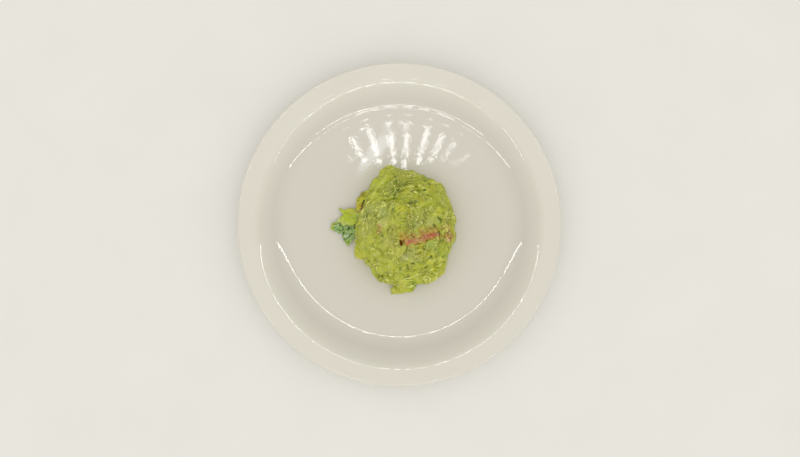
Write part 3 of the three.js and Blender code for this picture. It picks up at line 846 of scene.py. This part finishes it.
def add_shred(bm, matrix, length, width, rng):
    """A torn shred of leaf: a small wavy sheet, pointed at its ends."""
    made = bmesh.ops.create_grid(bm, x_segments=4, y_segments=2, size=0.5)["verts"]
    curl = rng.uniform(-0.25, 0.35)
    for vert in made:
        taper = 1 - 0.75 * abs(2 * vert.co.x) ** 2
        ragged = 1 + rng.uniform(-0.25, 0.25)
        side = vert.co.y * width * taper * ragged
        lift = curl * width * (2 * vert.co.x) ** 2 + rng.uniform(0, 0.12) * width
        vert.co = (vert.co.x * length * ragged, side, lift)
    faces = list({face for vert in made for face in vert.link_faces})
    shell = bmesh.ops.solidify(bm, geom=faces, thickness=SHRED_THICKNESS)["geom"]
    verts = set(made) | {part for part in shell if isinstance(part, bmesh.types.BMVert)}
    bmesh.ops.transform(bm, matrix=matrix, verts=list(verts))


def add_nugget(bm, matrix, length, width, height, rng, rounds=2):
    """A small uneven lump."""
    made = bmesh.ops.create_icosphere(bm, subdivisions=rounds, radius=0.5)["verts"]
    away = Vector((rng.uniform(0, 90), rng.uniform(0, 90), rng.uniform(0, 90)))
    for vert in made:
        vert.co *= 1 + 0.45 * noise.noise(vert.co * 2.4 + away)
        vert.co = (vert.co.x * length, vert.co.y * width, vert.co.z * height)
    bmesh.ops.transform(bm, matrix=matrix, verts=made)


def bit_material(name, colours, tones, wrinkles, shine):
    """A chopped bit: two colours in soft patches and a finely wrinkled skin. Tones are the width
    of a patch in mm and where its second colour starts and is full. Wrinkles are their width in
    mm, detail, strength and depth in mm."""
    material, tree, place = new_material(name)
    (tone_width, start, full), (width, detail, strength, depth) = tones, wrinkles
    blotch, dent = (
        add_node(tree, "TexNoise", {"Vector": place, "Scale": 1 / (size * MM), "Detail": fineness})
        for size, fineness in ((tone_width, 2.0), (width, detail))
    )
    colour = layered(tree, colours[0], (blotch, start, full, 1, colours[1]))
    skin = add_node(tree, "Bump", {"Height": dent, "Strength": strength, "Distance": depth * MM})
    shader = add_node(tree, "BsdfPrincipled", {"Base Color": colour, "Normal": skin, **shine})
    add_node(tree, "OutputMaterial", {"Surface": shader})
    return material


def chopped_herb(settings):
    """Coriander chopped with a knife and coated in avocado: dull dark green shreds with paler patches
    that are partly their own tone and partly painted glints.
    """
    colours = (settings.herb, settings.herb_pale_glint)
    shine = {"Roughness": 0.6, "IOR": 1.2}
    return bit_material(
        "coriander_chopped_coated", colours, (2.4, 0.35, 0.65), (0.6, 2.0, 0.5, 0.2), shine
    )


def diced_onion(settings):
    """Onion and avocado diced fine: wet, slightly see-through cream bits."""
    colours = (settings.onion, settings.onion_green)
    shine = {
        "Roughness": 0.32, "IOR": 1.38,
        "Subsurface Weight": 0.35, "Subsurface Radius": (1.0, 1.0, 0.6), "Subsurface Scale": MM,
    }
    return bit_material("onion_diced_wet", colours, (3.0, 0.35, 0.65), (0.8, 1.0, 0.3, 0.1), shine)


def dried_chilli(settings):
    """A fleck of dried chilli soaked in the mash: near-black red with a softly glossy skin, and orange
    brown patches that are partly its thin skin and partly painted highlight.
    """
    colours = (settings.chilli, settings.chilli_thin_glint)
    shine = {"Roughness": 0.5, "IOR": 1.12}
    return bit_material("chilli_dried_soaked", colours, (1.2, 0, 1), (1.2, 2.0, 0.6, 0.2), shine)


class GUACAMOLE_OT_bits(bpy.types.Operator):
    """Scatters herb, onion, pale threads, a chilli fleck and stained bits over the mash"""

    bl_idname = "guacamole.bits"
    bl_label = "Herb, onion and chilli"

    def execute(self, context):
        settings = context.scene.guacamole_bits
        rng = np.random.default_rng(settings.seed)
        surface = surface_of("mashed_avocado", "tomato_strip_wet", "tomato_end_wet")
        for add in (self.add_herbs, self.add_onion, self.add_chilli, self.add_smears):
            add(settings, rng, surface)
        return {"FINISHED"}

    def add_herbs(self, settings, rng, surface):
        bm = bmesh.new()
        for x, y, length, turn in HERB_FLECKS:
            for _ in range(2):
                seat = seat_on(surface, x + rng.normal(0, 0.5), y + rng.normal(0, 0.5))
                matrix = seat_matrix(*seat, turn + rng.normal(0, 14))
                add_shred(bm, matrix, length * rng.uniform(0.6, 1) * MM, SHRED_WIDTH, rng)
        for x, y, spread, count in HERB_DRIFTS:
            for _ in range(count):
                spot = Vector((rng.normal(x, spread), rng.normal(y, spread)))
                seat = seat_on(surface, *spot)
                if seat and seat[1].z > HERB_UP and from_strip(spot) >= HERB_CLEAR:
                    matrix = seat_matrix(*seat, rng.uniform(0, 360), 0.05 * MM)
                    add_shred(bm, matrix, rng.uniform(0.6, 2.0) * MM, rng.uniform(0.3, 0.7) * MM, rng)
        finish_piece("herb_flecks", bm, chopped_herb(settings), "guacamole")

    def add_onion(self, settings, rng, surface):
        bm = bmesh.new()
        for _ in range(settings.onion_count):
            x = rng.uniform(MOUND_LOW.x, MOUND_HIGH.x) / MM
            y = rng.uniform(MOUND_LOW.y, MOUND_HIGH.y) / MM
            seat = seat_on(surface, x, y)
            if seat and seat[1].z > ONION_UP:
                length = min(0.7 + rng.exponential(0.5), 2.6) * MM
                matrix = seat_matrix(*seat, rng.uniform(0, 360), 0.1 * length)
                add_nugget(bm, matrix, length, 0.7 * length, 0.55 * length, rng)
        # Pale threads: partly strands, partly painted highlights on the wet mash.
        for _ in range(settings.thread_count):
            turn = rng.uniform(0, math.tau)
            away = math.sqrt(rng.uniform(0, 1))
            x = MOUND_MIDDLE.x / MM + THREAD_OVAL[0] * away * math.cos(turn)
            y = MOUND_MIDDLE.y / MM + THREAD_OVAL[1] * away * math.sin(turn)
            seat = seat_on(surface, x, y)
            if seat and seat[1].z > THREAD_UP and from_strip(Vector((x, y))) >= THREAD_CLEAR:
                length = rng.uniform(1.4, 4.0) * MM
                along = math.degrees(turn) + 90 + rng.normal(0, 35)
                matrix = seat_matrix(*seat, along, 0.05 * MM)
                add_nugget(bm, matrix, length, rng.uniform(0.5, 0.8) * MM, 0.6 * MM, rng)
        finish_piece("onion_bits", bm, diced_onion(settings), "guacamole")

    def add_chilli(self, settings, rng, surface):
        bm = bmesh.new()
        x, y, length, turn = CHILLI_FLECK
        matrix = seat_matrix(*seat_on(surface, x, y), turn, -0.6 * MM)
        add_nugget(bm, matrix, length * MM, 2.0 * MM, 1.6 * MM, rng, rounds=3)
        finish_piece("chilli_fleck", bm, dried_chilli(settings), "guacamole")

    def add_smears(self, settings, rng, surface):
        """Bits of avocado and of tomato along the sides of the strip, so that it sinks in."""
        avocado, tomato = bmesh.new(), bmesh.new()
        run = STRIP_END - STRIP_START
        across = Vector((-run.y, run.x)).normalized()
        for step in range(STRIP_BITS):
            side = 1 if step % 2 else -1
            share = rng.uniform(0.08, 1.35)
            away = side * rng.normal(2.9, 0.7)
            seat = seat_on(surface, *(STRIP_START + share * run + away * across))
            if seat:
                bm = tomato if rng.random() < (0.4 if side > 0 else 0.25) else avocado
                length = rng.uniform(0.8, 2.2) * MM
                matrix = seat_matrix(*seat, rng.uniform(0, 360), 0.15 * length)
                add_nugget(bm, matrix, length, 0.7 * length, 0.5 * length, rng)
        for bm, tint in ((avocado, settings.tint), (tomato, settings.tomato_tint)):
            layer = bm.verts.layers.float_color.new("patch")
            for vert in bm.verts:
                vert[layer] = (*tint[:3], STRIP_STAIN)
        mash = bpy.data.materials["avocado_mashed_moist"]
        flesh = bpy.data.materials["tomato_cut_wet"]
        finish_piece("strip_avocado_bits", avocado, mash, "guacamole")
        finish_piece("strip_tomato_bits", tomato, flesh, "tomato_strip")


# ---------------- leaves

# Outlines of the leaves, in mm and degrees: the middle, the plain reach, and the lobes as
# direction, reach and half-spread. Veins run from the stalk to the tips.
CORIANDER = {
    "middle": (-38.3, -5.2),
    "reach": 5.2,
    "lobes": (
        (160, 7.4, 18), (119, 3.6, 15), (212, -1.9, 14), (275, 4.6, 17), (350, 3.8, 40), (139, 3.4, 9),
        (182, 1.2, 8), (299, 1.2, 9), (250, 1.2, 9), (10, 1.2, 14), (38, 1.8, 14), (169, 0.9, 4),
        (153, 0.8, 4), (196, -0.8, 5),
    ),
    "stalk": (-31.0, -6.5),
    "tips": ((-50.6, -1.6), (-37.6, -14.4), (-45.5, 1.6), (-38.5, 1.2), (-33.5, -12.5)),
    "tooth": 0.55,
    "tooth_count": 17,
    "crinkle": 1.1,
    "crinkle_width": 1.5,
    "patches": (
        # The near-white mint patches are painted highlights on the crinkles, and the near-black greens
        # are painted shade in the creases.
        (-50.5, -1.5, 3.6, 1.2, 0, "#c4c84a"), (-47.5, 2.2, 3.6, 1.2, 0, "#b8c858"),
        (-42, 2.4, 2.8, 1, 0, "#c0cb74"), (-36.5, 1.2, 2.4, 1, 0, "#b9bf62"),
        (-38, -13.2, 2.6, 1.2, 0, "#a4be3c"), (-38, -7.8, 1.6, 1.2, 0, "#d6e6d2"),
        (-37, -3, 1.2, 1.4, 0, "#16300c"), (-42.6, -0.2, 1.3, 1.6, 0, "#142c0e"),
        (-44.6, 1.2, 0.9, 1.2, 0, "#24481c"), (-45.2, -1, 0.9, 1.1, 0, "#b8dcb0"),
        (-43.2, -4.2, 0.9, 1.2, 0, "#1e4420"), (-39.8, -8.8, 0.9, 1.2, 0, "#c4dcc8"),
        (-40.6, -6, 1, 1, 0, "#284a20"), (-36.4, -8.6, 1.1, 1, 0, "#2e5220"),
        (-40.2, -10.6, 1.1, 1.2, 0, "#2a4c16"), (-40.4, -3.2, 1, 1, 0, "#284a2c"),
        (-34, -3.2, 2.2, 0.7, 0, "#8aa850"), (-46, -3, 2.2, 0.8, 0, "#62a06a"),
        (-47.6, 0.2, 1, 1, 0, "#3c6a2c"), (-32.5, -9, 2, 0.7, 0, "#97a860"),
    ),
}
PALE_LEAF = {
    "middle": (-36.2, 5.4),
    "reach": 6.4,
    "lobes": (
        (140, 3.8, 8), (163, -1.8, 9), (197, 3.2, 13), (229, 1.4, 14), (20, 2.2, 35), (262, -0.6, 20),
    ),
    "stalk": (-29.0, 6.5),
    "tips": ((-43.0, 11.4), (-44.0, 3.6), (-35.0, -0.8), (-36.0, 11.5)),
    "tooth": 0.3,
    "tooth_count": 23,
    "crinkle": 0.5,
    "crinkle_width": 2.4,
    "patches": (
        (-36, 10.5, 3.6, 0.8, 0, "#c2b93c"), (-42.5, 10.5, 2.5, 0.7, 0, "#acc14c"),
        (-44, 2.6, 3.2, 1, 0, "#c4cf84"), (-39.6, 0.6, 2.2, 0.9, 0, "#cdd084"),
        (-35.5, 5.5, 3.4, 0.9, 0, "#9cb000"), (-35.5, -0.2, 2, 0.7, 0, "#c6c66a"),
        # The dark olive patch at (-30, 4.4) is a painted shadow where the leaf meets the mash.
        (-30.5, 9.5, 2.4, 0.8, 0, "#b39840"), (-30, 4.4, 1.4, 1, 0, "#44500c"),
        (-30.5, 2, 1.6, 0.7, 0, "#8c9a2c"),
    ),
}


class LeafSettings(bpy.types.PropertyGroup):
    """Sizes and colours of the leaves."""

    cells: IntProperty(
        name="Cells", description="Cells along each side of a leaf's grid", default=64, min=16
    )
    thickness: length_setting("Thickness", "Thickness of a leaf", 0.35)
    dark: colour_setting("Coriander", "Green of the leaf", "#98b964")
    # Painted highlight on the coriander's crinkles and painted shade in its creases.
    dark_crinkle_highlight: colour_setting("Coriander crinkles", "Mint green on its crinkles", "#cfe2ac")
    dark_crease_shade: colour_setting("Coriander creases", "Dark green in its creases", "#38541a")
    light: colour_setting("Pale leaf", "Yellow green of the pale leaf", "#b4c610")
    # Painted highlight on the pale leaf's crinkles and painted shade in its creases.
    light_crinkle_highlight: colour_setting("Pale leaf crinkles", "Paler on its crinkles", "#c8d058")
    light_crease_shade: colour_setting("Pale leaf creases", "Deeper in its creases", "#9cae14")
    vein: colour_setting("Veins", "Pale veins", "#b4c678")


def leaf_reach(shape, angle):
    """How far a leaf's edge is from its middle in one direction, in mm."""
    reach = shape["reach"] + shape["tooth"] * math.cos(shape["tooth_count"] * angle)
    around = Vector((math.cos(angle), math.sin(angle), 0))
    reach += 1.6 * shape["tooth"] * noise.noise(6 * around)
    for at, rise, spread in shape["lobes"]:
        away = (math.degrees(angle) - at + 180) % 360 - 180
        reach += rise * fall_off(away, spread)
    return reach


def leaf_veins(shape, spot):
    """1 on a vein and 0 between veins. Veins thin out towards the tips."""
    strongest = 0.0
    for tip in shape["tips"]:
        away, share = distance_to_line(spot, Vector(shape["stalk"]), Vector(tip))
        strongest = max(strongest, (1 - 0.6 * share) * fall_off(away, 0.42 - 0.2 * share))
    return strongest


def leaf_material(name, settings, blade, raised_highlight, sunk_shade):
    """A fresh herb leaf: a waxy, softly shining blade with paler veins, with painted highlight where it
    is crinkled upwards and painted shade in its creases."""
    material, tree, place = new_material(name)
    crinkle, patch, vein = (
        add_node(tree, "Attribute", attribute_name=layer) for layer in ("crinkle", "patch", "vein")
    )
    cloud = add_node(
        tree, "TexNoise", {"Vector": place, "Scale": 1 / (1.6 * MM), "Detail": 3.0, "Roughness": 0.6}
    )
    uneven = add_node(tree, "Math", {0: crinkle.outputs["Fac"], 1: cloud}, operation="ADD")
    colour = layered(
        tree, blade,
        (uneven, 0.35, 0.0, 0.85, sunk_shade),
        (uneven, 0.6, 0.95, 0.85, raised_highlight),
        (patch.outputs["Alpha"], 0, 1, 0.8, patch.outputs["Color"]),
        (vein.outputs["Fac"], 0.2, 1, 0.5, settings.vein),
    )
    pores = add_node(tree, "TexNoise", {"Vector": place, "Scale": 1 / (0.7 * MM), "Detail": 2.0})
    skin = add_node(tree, "Bump", {"Height": pores, "Strength": 0.5, "Distance": 0.2 * MM})
    shader = add_node(
        tree, "BsdfPrincipled", {"Base Color": colour, "Roughness": 0.3, "IOR": 1.42, "Normal": skin}
    )
    add_node(tree, "OutputMaterial", {"Surface": shader})
    return material


class GUACAMOLE_OT_leaves(bpy.types.Operator):
    """Makes the dark coriander leaf and the pale leaf"""

    bl_idname = "guacamole.leaves"
    bl_label = "Leaves"

    def execute(self, context):
        settings = context.scene.guacamole_leaves
        dark = (settings.dark, settings.dark_crinkle_highlight, settings.dark_crease_shade)
        light = (settings.light, settings.light_crinkle_highlight, settings.light_crease_shade)
        crinkled = leaf_material("coriander_fresh_crinkled", settings, *dark)
        waxy = leaf_material("leaf_young_waxy", settings, *light)
        self.add_leaf(
            settings, "coriander_leaf", "coriander_leaf_crinkled", CORIANDER, crinkled, "coriander"
        )
        self.add_leaf(settings, "pale_leaf", "pale_leaf_waxy", PALE_LEAF, waxy, "pale_leaf")
        return {"FINISHED"}

    def add_leaf(self, settings, node, name, shape, material, slot):
        """A grid rounded into a disc and stretched to the outline, laid along the middle of the
        packed leaf, crinkled and given its thickness."""
        packed = solid_copy(node)
        solid = BVHTree.FromBMesh(packed)
        packed.free()
        bm = bmesh.new()
        bmesh.ops.create_grid(bm, x_segments=settings.cells, y_segments=settings.cells, size=1)
        crinkle_layer = bm.verts.layers.float.new("crinkle")
        vein_layer = bm.verts.layers.float.new("vein")
        patch_layer = bm.verts.layers.float_color.new("patch")
        for vert in bm.verts:
            disc_x = vert.co.x * math.sqrt(1 - vert.co.y**2 / 2)
            disc_y = vert.co.y * math.sqrt(1 - vert.co.x**2 / 2)
            angle = math.atan2(disc_y, disc_x)
            reach = math.hypot(disc_x, disc_y) * leaf_reach(shape, angle)
            spot = Vector(shape["middle"]) + reach * Vector((math.cos(angle), math.sin(angle)))
            vein = leaf_veins(shape, spot)
            flat = Vector((*spot, 0)) / shape["crinkle_width"]
            crinkle = noise.noise(flat) + 0.5 * noise.noise(2.1 * flat)
            height = self.middle_height(solid, *spot * MM)
            height += (shape["crinkle"] * crinkle * (1 - 0.6 * vein) - 0.12 * vein) * MM
            vert.co = (spot.x * MM, spot.y * MM, height)
            vert[crinkle_layer] = crinkle
            vert[vein_layer] = vein
            vert[patch_layer], _ = patch_at(Vector((*spot, 0)), shape["patches"])
        bmesh.ops.solidify(bm, geom=bm.faces, thickness=settings.thickness)
        bmesh.ops.recalc_face_normals(bm, faces=bm.faces)
        finish_piece(name, bm, material, node)

    def middle_height(self, solid, x, y):
        """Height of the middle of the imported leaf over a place."""
        above = solid.ray_cast(Vector((x, y, RAY_HEIGHT)), -UP)[0]
        below = solid.ray_cast(Vector((x, y, 0.0)), UP)[0]
        if above is not None and below is not None:
            return (above.z + below.z) / 2
        return solid.find_nearest(Vector((x, y, plate_top(math.hypot(x, y)) + 2 * MM)))[0].z


# ---------------- stage


class StageSettings(bpy.types.PropertyGroup):
    """Camera, floor and lights."""

    camera_height: length_setting("Camera height", "Height of the camera above the table", 450)
    lens: FloatProperty(
        name="Lens", description="Focal length on a sensor 36 mm wide", default=27.3, unit="CAMERA"
    )
    table: colour_setting("Table", "Pale matte table top", "#f1f0ec")
    table_shade: colour_setting("Table shade", "Slightly deeper tone between", "#ebeae6")
    room: colour_setting("Room", "Soft light from all round", "#fffdf8")
    room_strength: FloatProperty(name="Room light", description="Strength of the room", default=0.625)
    room_lean: FloatProperty(
        name="Room lean",
        description="How much brighter the room is overhead and at the near side",
        default=0.6,
    )
    overhead_strength: FloatProperty(
        name="Overhead light", description="Strength of the soft light from overhead", default=0.3
    )
    lamp_gain: FloatProperty(
        name="Lamp gain", description="Multiplies the strength of every lamp", default=1.0
    )


# Where the room and the soft light overhead are brightest, and how tight the soft light is.
ROOM_SIDE = (0.0, -0.3, 0.85)
OVERHEAD_SIDE = (0.15, -0.25, 0.95)
OVERHEAD_POWER = 4.0

CAMERA_X = 0.5 * MM
CAMERA_Y = -2.8 * MM
SENSOR_WIDTH = 36
TABLE_RADIUS = 3.0

# Long soft lamps: x from and to, y, height and width in metres, and brightness. The glaze draws
# them as thin rings round its curved parts.
LAMP_LINES = (
    (-0.95, 0.95, -0.93, 2, 0.02, 12), (-1.35, 1.35, -1.45, 2, 0.032, 22),
    (-2.15, -1.15, -1.07, 2, 0.06, 12), (1.15, 2.15, -1.07, 2, 0.06, 12), (-0.6, 0.6, 0.344, 2, 0.05, 15),
    (-2.2, -0.68, 0.344, 2, 0.06, 11), (0.68, 2.2, 0.344, 2, 0.06, 11),
)

# The bars of the ceiling lamp show in the back of the plate's floor, as spokes: direction in
# degrees, inner and outer end in mm, and brightness. Dark cross bars cut them, placed by their
# distance and width in mm, and most end in a thin bright cap: direction and spread in degrees.
SPOKES = (
    (56, 56, 72.5, 6), (64, 50.5, 73.5, 10), (73.5, 45.5, 73.5, 11), (85, 41.5, 67, 11),
    (86.3, 69, 74, 6), (95.3, 43.5, 66.5, 11), (96.2, 69.5, 74, 6), (107.5, 46, 73, 11),
    (118.8, 51.5, 72.5, 10), (126.5, 58, 62, 5.5),
)
CROSS_BARS = ((48.9, 1.6), (54.6, 0.8))
CAPS = ((74, 5), (86.5, 7), (96.3, 4.6), (109.5, 6))
# Short glints in the curve at the foot of the wall, laid out as the caps.
FOOT_GLINTS = ((108.5, 6), (102.5, 4), (94.3, 6), (86, 4.4), (77.4, 4.8), (69.5, 4), (64.6, 4))
# A curved reflection beside the bars: places as direction in degrees and radius in mm.
SIDE_STREAK = ((51, 57.5), (48, 60.5), (45.8, 64), (45.2, 72))
# Radius in mm, width in mm and brightness of the caps and of the glints.
CAP = (75.2, 0.9, 15)
FOOT_GLINT = (85.6, 16.0, 7.5)
# Widths of a bar and of the streak in mm, and the streak's brightness.
SPOKE_WIDTH = 3.0
STREAK_WIDTH = 2.0
STREAK_BRIGHTNESS = 4
# Height of these lamps in metres.
SPOKE_HEIGHT = 0.6


def painted_board(settings):
    """A pale painted table board: matte, with a very faint unevenness of tone."""
    material, tree, place = new_material("board_painted_matte")
    cloud = add_node(tree, "TexNoise", {"Vector": place, "Scale": 1 / (60 * MM), "Detail": 3.0})
    colour = layered(tree, settings.table, (cloud, 0, 1, 1, settings.table_shade))
    shader = add_node(tree, "BsdfPrincipled", {"Base Color": colour, "Roughness": 0.8})
    add_node(tree, "OutputMaterial", {"Surface": shader})
    return material


def mirrored(radius, azimuth, camera, height):
    """Where the camera, looking at a point of the plate's floor, sees in it at a height."""
    outward = Vector((math.cos(azimuth), math.sin(azimuth), 0))
    point = outward * radius + UP * plate_top(radius)
    normal = (UP - outward * plate_slope(radius)).normalized()
    ray = (point - camera).normalized().reflect(normal)
    return point + ray * (height - point.z) / ray.z


def add_lamp(name, start, end, width, brightness):
    """A straight strip lamp between two points, facing the middle of the plate. It only shows
    in what shines: the room lights the rest."""
    centre = (start + end) / 2
    along = (end - start).normalized()
    back = (centre - along * centre.dot(along)).normalized()
    lamp = bpy.data.lights.new(name, "AREA")
    lamp.shape = "RECTANGLE"
    lamp.size = (end - start).length
    lamp.size_y = width
    lamp.energy = math.pi * brightness * lamp.size * width
    made = bpy.data.objects.new(name, lamp)
    axes = Matrix((along, back.cross(along), back)).transposed().to_4x4()
    made.matrix_world = Matrix.Translation(centre) @ axes
    made.visible_diffuse = False
    bpy.context.scene.collection.objects.link(made)


class GUACAMOLE_OT_stage(bpy.types.Operator):
    """Sets the table, the camera and the lights"""

    bl_idname = "guacamole.stage"
    bl_label = "Table, camera and lights"

    def execute(self, context):
        settings = context.scene.guacamole_stage
        self.add_table(settings)
        camera = self.add_camera(settings)
        self.add_room(settings)
        self.add_ceiling_lamp(settings, camera)
        for number, (left, right, y, height, width, brightness) in enumerate(LAMP_LINES):
            start, end = Vector((left, y, height)), Vector((right, y, height))
            add_lamp(f"soft_lamp_{number + 1}", start, end, width, brightness * settings.lamp_gain)
        return {"FINISHED"}

    def add_table(self, settings):
        bm = bmesh.new()
        bmesh.ops.create_circle(bm, cap_ends=True, segments=64, radius=TABLE_RADIUS)
        table = object_of(bm, "table_top")
        table.data.materials.append(painted_board(settings))

    def add_camera(self, settings):
        data = bpy.data.cameras.new("camera")
        data.sensor_width = SENSOR_WIDTH
        data.lens = settings.lens
        data.clip_start = 0.01
        camera = bpy.data.objects.new("camera", data)
        camera.location = (CAMERA_X, CAMERA_Y, settings.camera_height)
        bpy.context.scene.collection.objects.link(camera)
        bpy.context.scene.camera = camera
        return camera.location.copy()

    def add_room(self, settings):
        world = bpy.data.worlds.new("room")
        world.use_nodes = True
        tree = world.node_tree
        direction = add_node(tree, "TexCoord").outputs["Generated"]
        lean, overhead = (
            add_node(tree, "VectorMath", {0: direction, 1: side}, operation="DOT_PRODUCT")
            for side in (ROOM_SIDE, OVERHEAD_SIDE)
        )
        low, high = (settings.room_strength * (1 + side * settings.room_lean) for side in (-1, 1))
        strength = add_node(
            tree, "MapRange", {"Value": lean, "From Min": -1.0, "To Min": low, "To Max": high}
        )
        towards = add_node(tree, "Math", {0: overhead, 1: 0.0}, operation="MAXIMUM")
        glow = add_node(tree, "Math", {0: towards, 1: OVERHEAD_POWER}, operation="POWER")
        lit = add_node(
            tree, "Math", {0: glow, 1: settings.overhead_strength, 2: strength}, operation="MULTIPLY_ADD"
        )
        background = tree.nodes["Background"]
        background.inputs["Color"].default_value = settings.room
        tree.links.new(lit.outputs["Value"], background.inputs["Strength"])
        bpy.context.scene.world = world
        bpy.context.scene.view_settings.view_transform = "Standard"

    def add_ceiling_lamp(self, settings, camera):
        glints = []
        for degrees, inner, outer, brightness in SPOKES:
            start = inner
            for distance, width in CROSS_BARS:
                cut = distance / math.sin(math.radians(degrees))
                if start < cut - width / 2 < outer:
                    glints.append(((degrees, start), (degrees, cut - width / 2), SPOKE_WIDTH, brightness))
                    start = cut + width / 2
            glints.append(((degrees, start), (degrees, outer), SPOKE_WIDTH, brightness))
        for places, (radius, width, brightness) in ((CAPS, CAP), (FOOT_GLINTS, FOOT_GLINT)):
            for degrees, spread in places:
                ends = ((degrees + side * spread / 2, radius) for side in (-1, 1))
                glints.append((*ends, width, brightness))
        for start, end in zip(SIDE_STREAK, SIDE_STREAK[1:]):
            glints.append((start, end, STREAK_WIDTH, STREAK_BRIGHTNESS))
        for number, (start, end, width, brightness) in enumerate(glints):
            near, far = (
                mirrored(radius * MM, math.radians(degrees), camera, SPOKE_HEIGHT)
                for degrees, radius in (start, end)
            )
            width *= far.xy.length / end[1]
            add_lamp(f"lamp_bar_{number + 1}", near, far, width, brightness * settings.lamp_gain)


# ---------------- panel and registration


class GUACAMOLE_PT_sidebar(bpy.types.Panel):
    """Lists the pieces and their sizes and colours"""

    bl_idname = "GUACAMOLE_PT_sidebar"
    bl_label = "Guacamole"
    bl_space_type = "VIEW_3D"
    bl_region_type = "UI"
    bl_category = "Guacamole"

    def draw(self, context):
        for operator, name, _ in STEPS:
            box = self.layout.box()
            box.operator(operator.bl_idname)
            settings = getattr(context.scene, name)
            for setting in settings.__annotations__:
                box.prop(settings, setting)


# Each step: its operator, and its settings with their name in the scene.
STEPS = (
    (GUACAMOLE_OT_plate, "guacamole_plate", PlateSettings),
    (GUACAMOLE_OT_mash, "guacamole_mash", MashSettings),
    (GUACAMOLE_OT_tomato, "guacamole_tomato", TomatoSettings),
    (GUACAMOLE_OT_bits, "guacamole_bits", BitSettings),
    (GUACAMOLE_OT_leaves, "guacamole_leaves", LeafSettings),
    (GUACAMOLE_OT_stage, "guacamole_stage", StageSettings),
)


def register():
    for operator, name, group in STEPS:
        bpy.utils.register_class(group)
        setattr(bpy.types.Scene, name, PointerProperty(type=group))
        bpy.utils.register_class(operator)
    bpy.utils.register_class(GUACAMOLE_PT_sidebar)


def unregister():
    bpy.utils.unregister_class(GUACAMOLE_PT_sidebar)
    for operator, name, group in reversed(STEPS):
        bpy.utils.unregister_class(operator)
        delattr(bpy.types.Scene, name)
        bpy.utils.unregister_class(group)


def main():
    register()
    bpy.ops.guacamole.plate()
    bpy.ops.guacamole.mash()
    bpy.ops.guacamole.tomato()
    bpy.ops.guacamole.bits()
    bpy.ops.guacamole.leaves()
    bpy.ops.guacamole.stage()


if __name__ == "__main__":
    main()
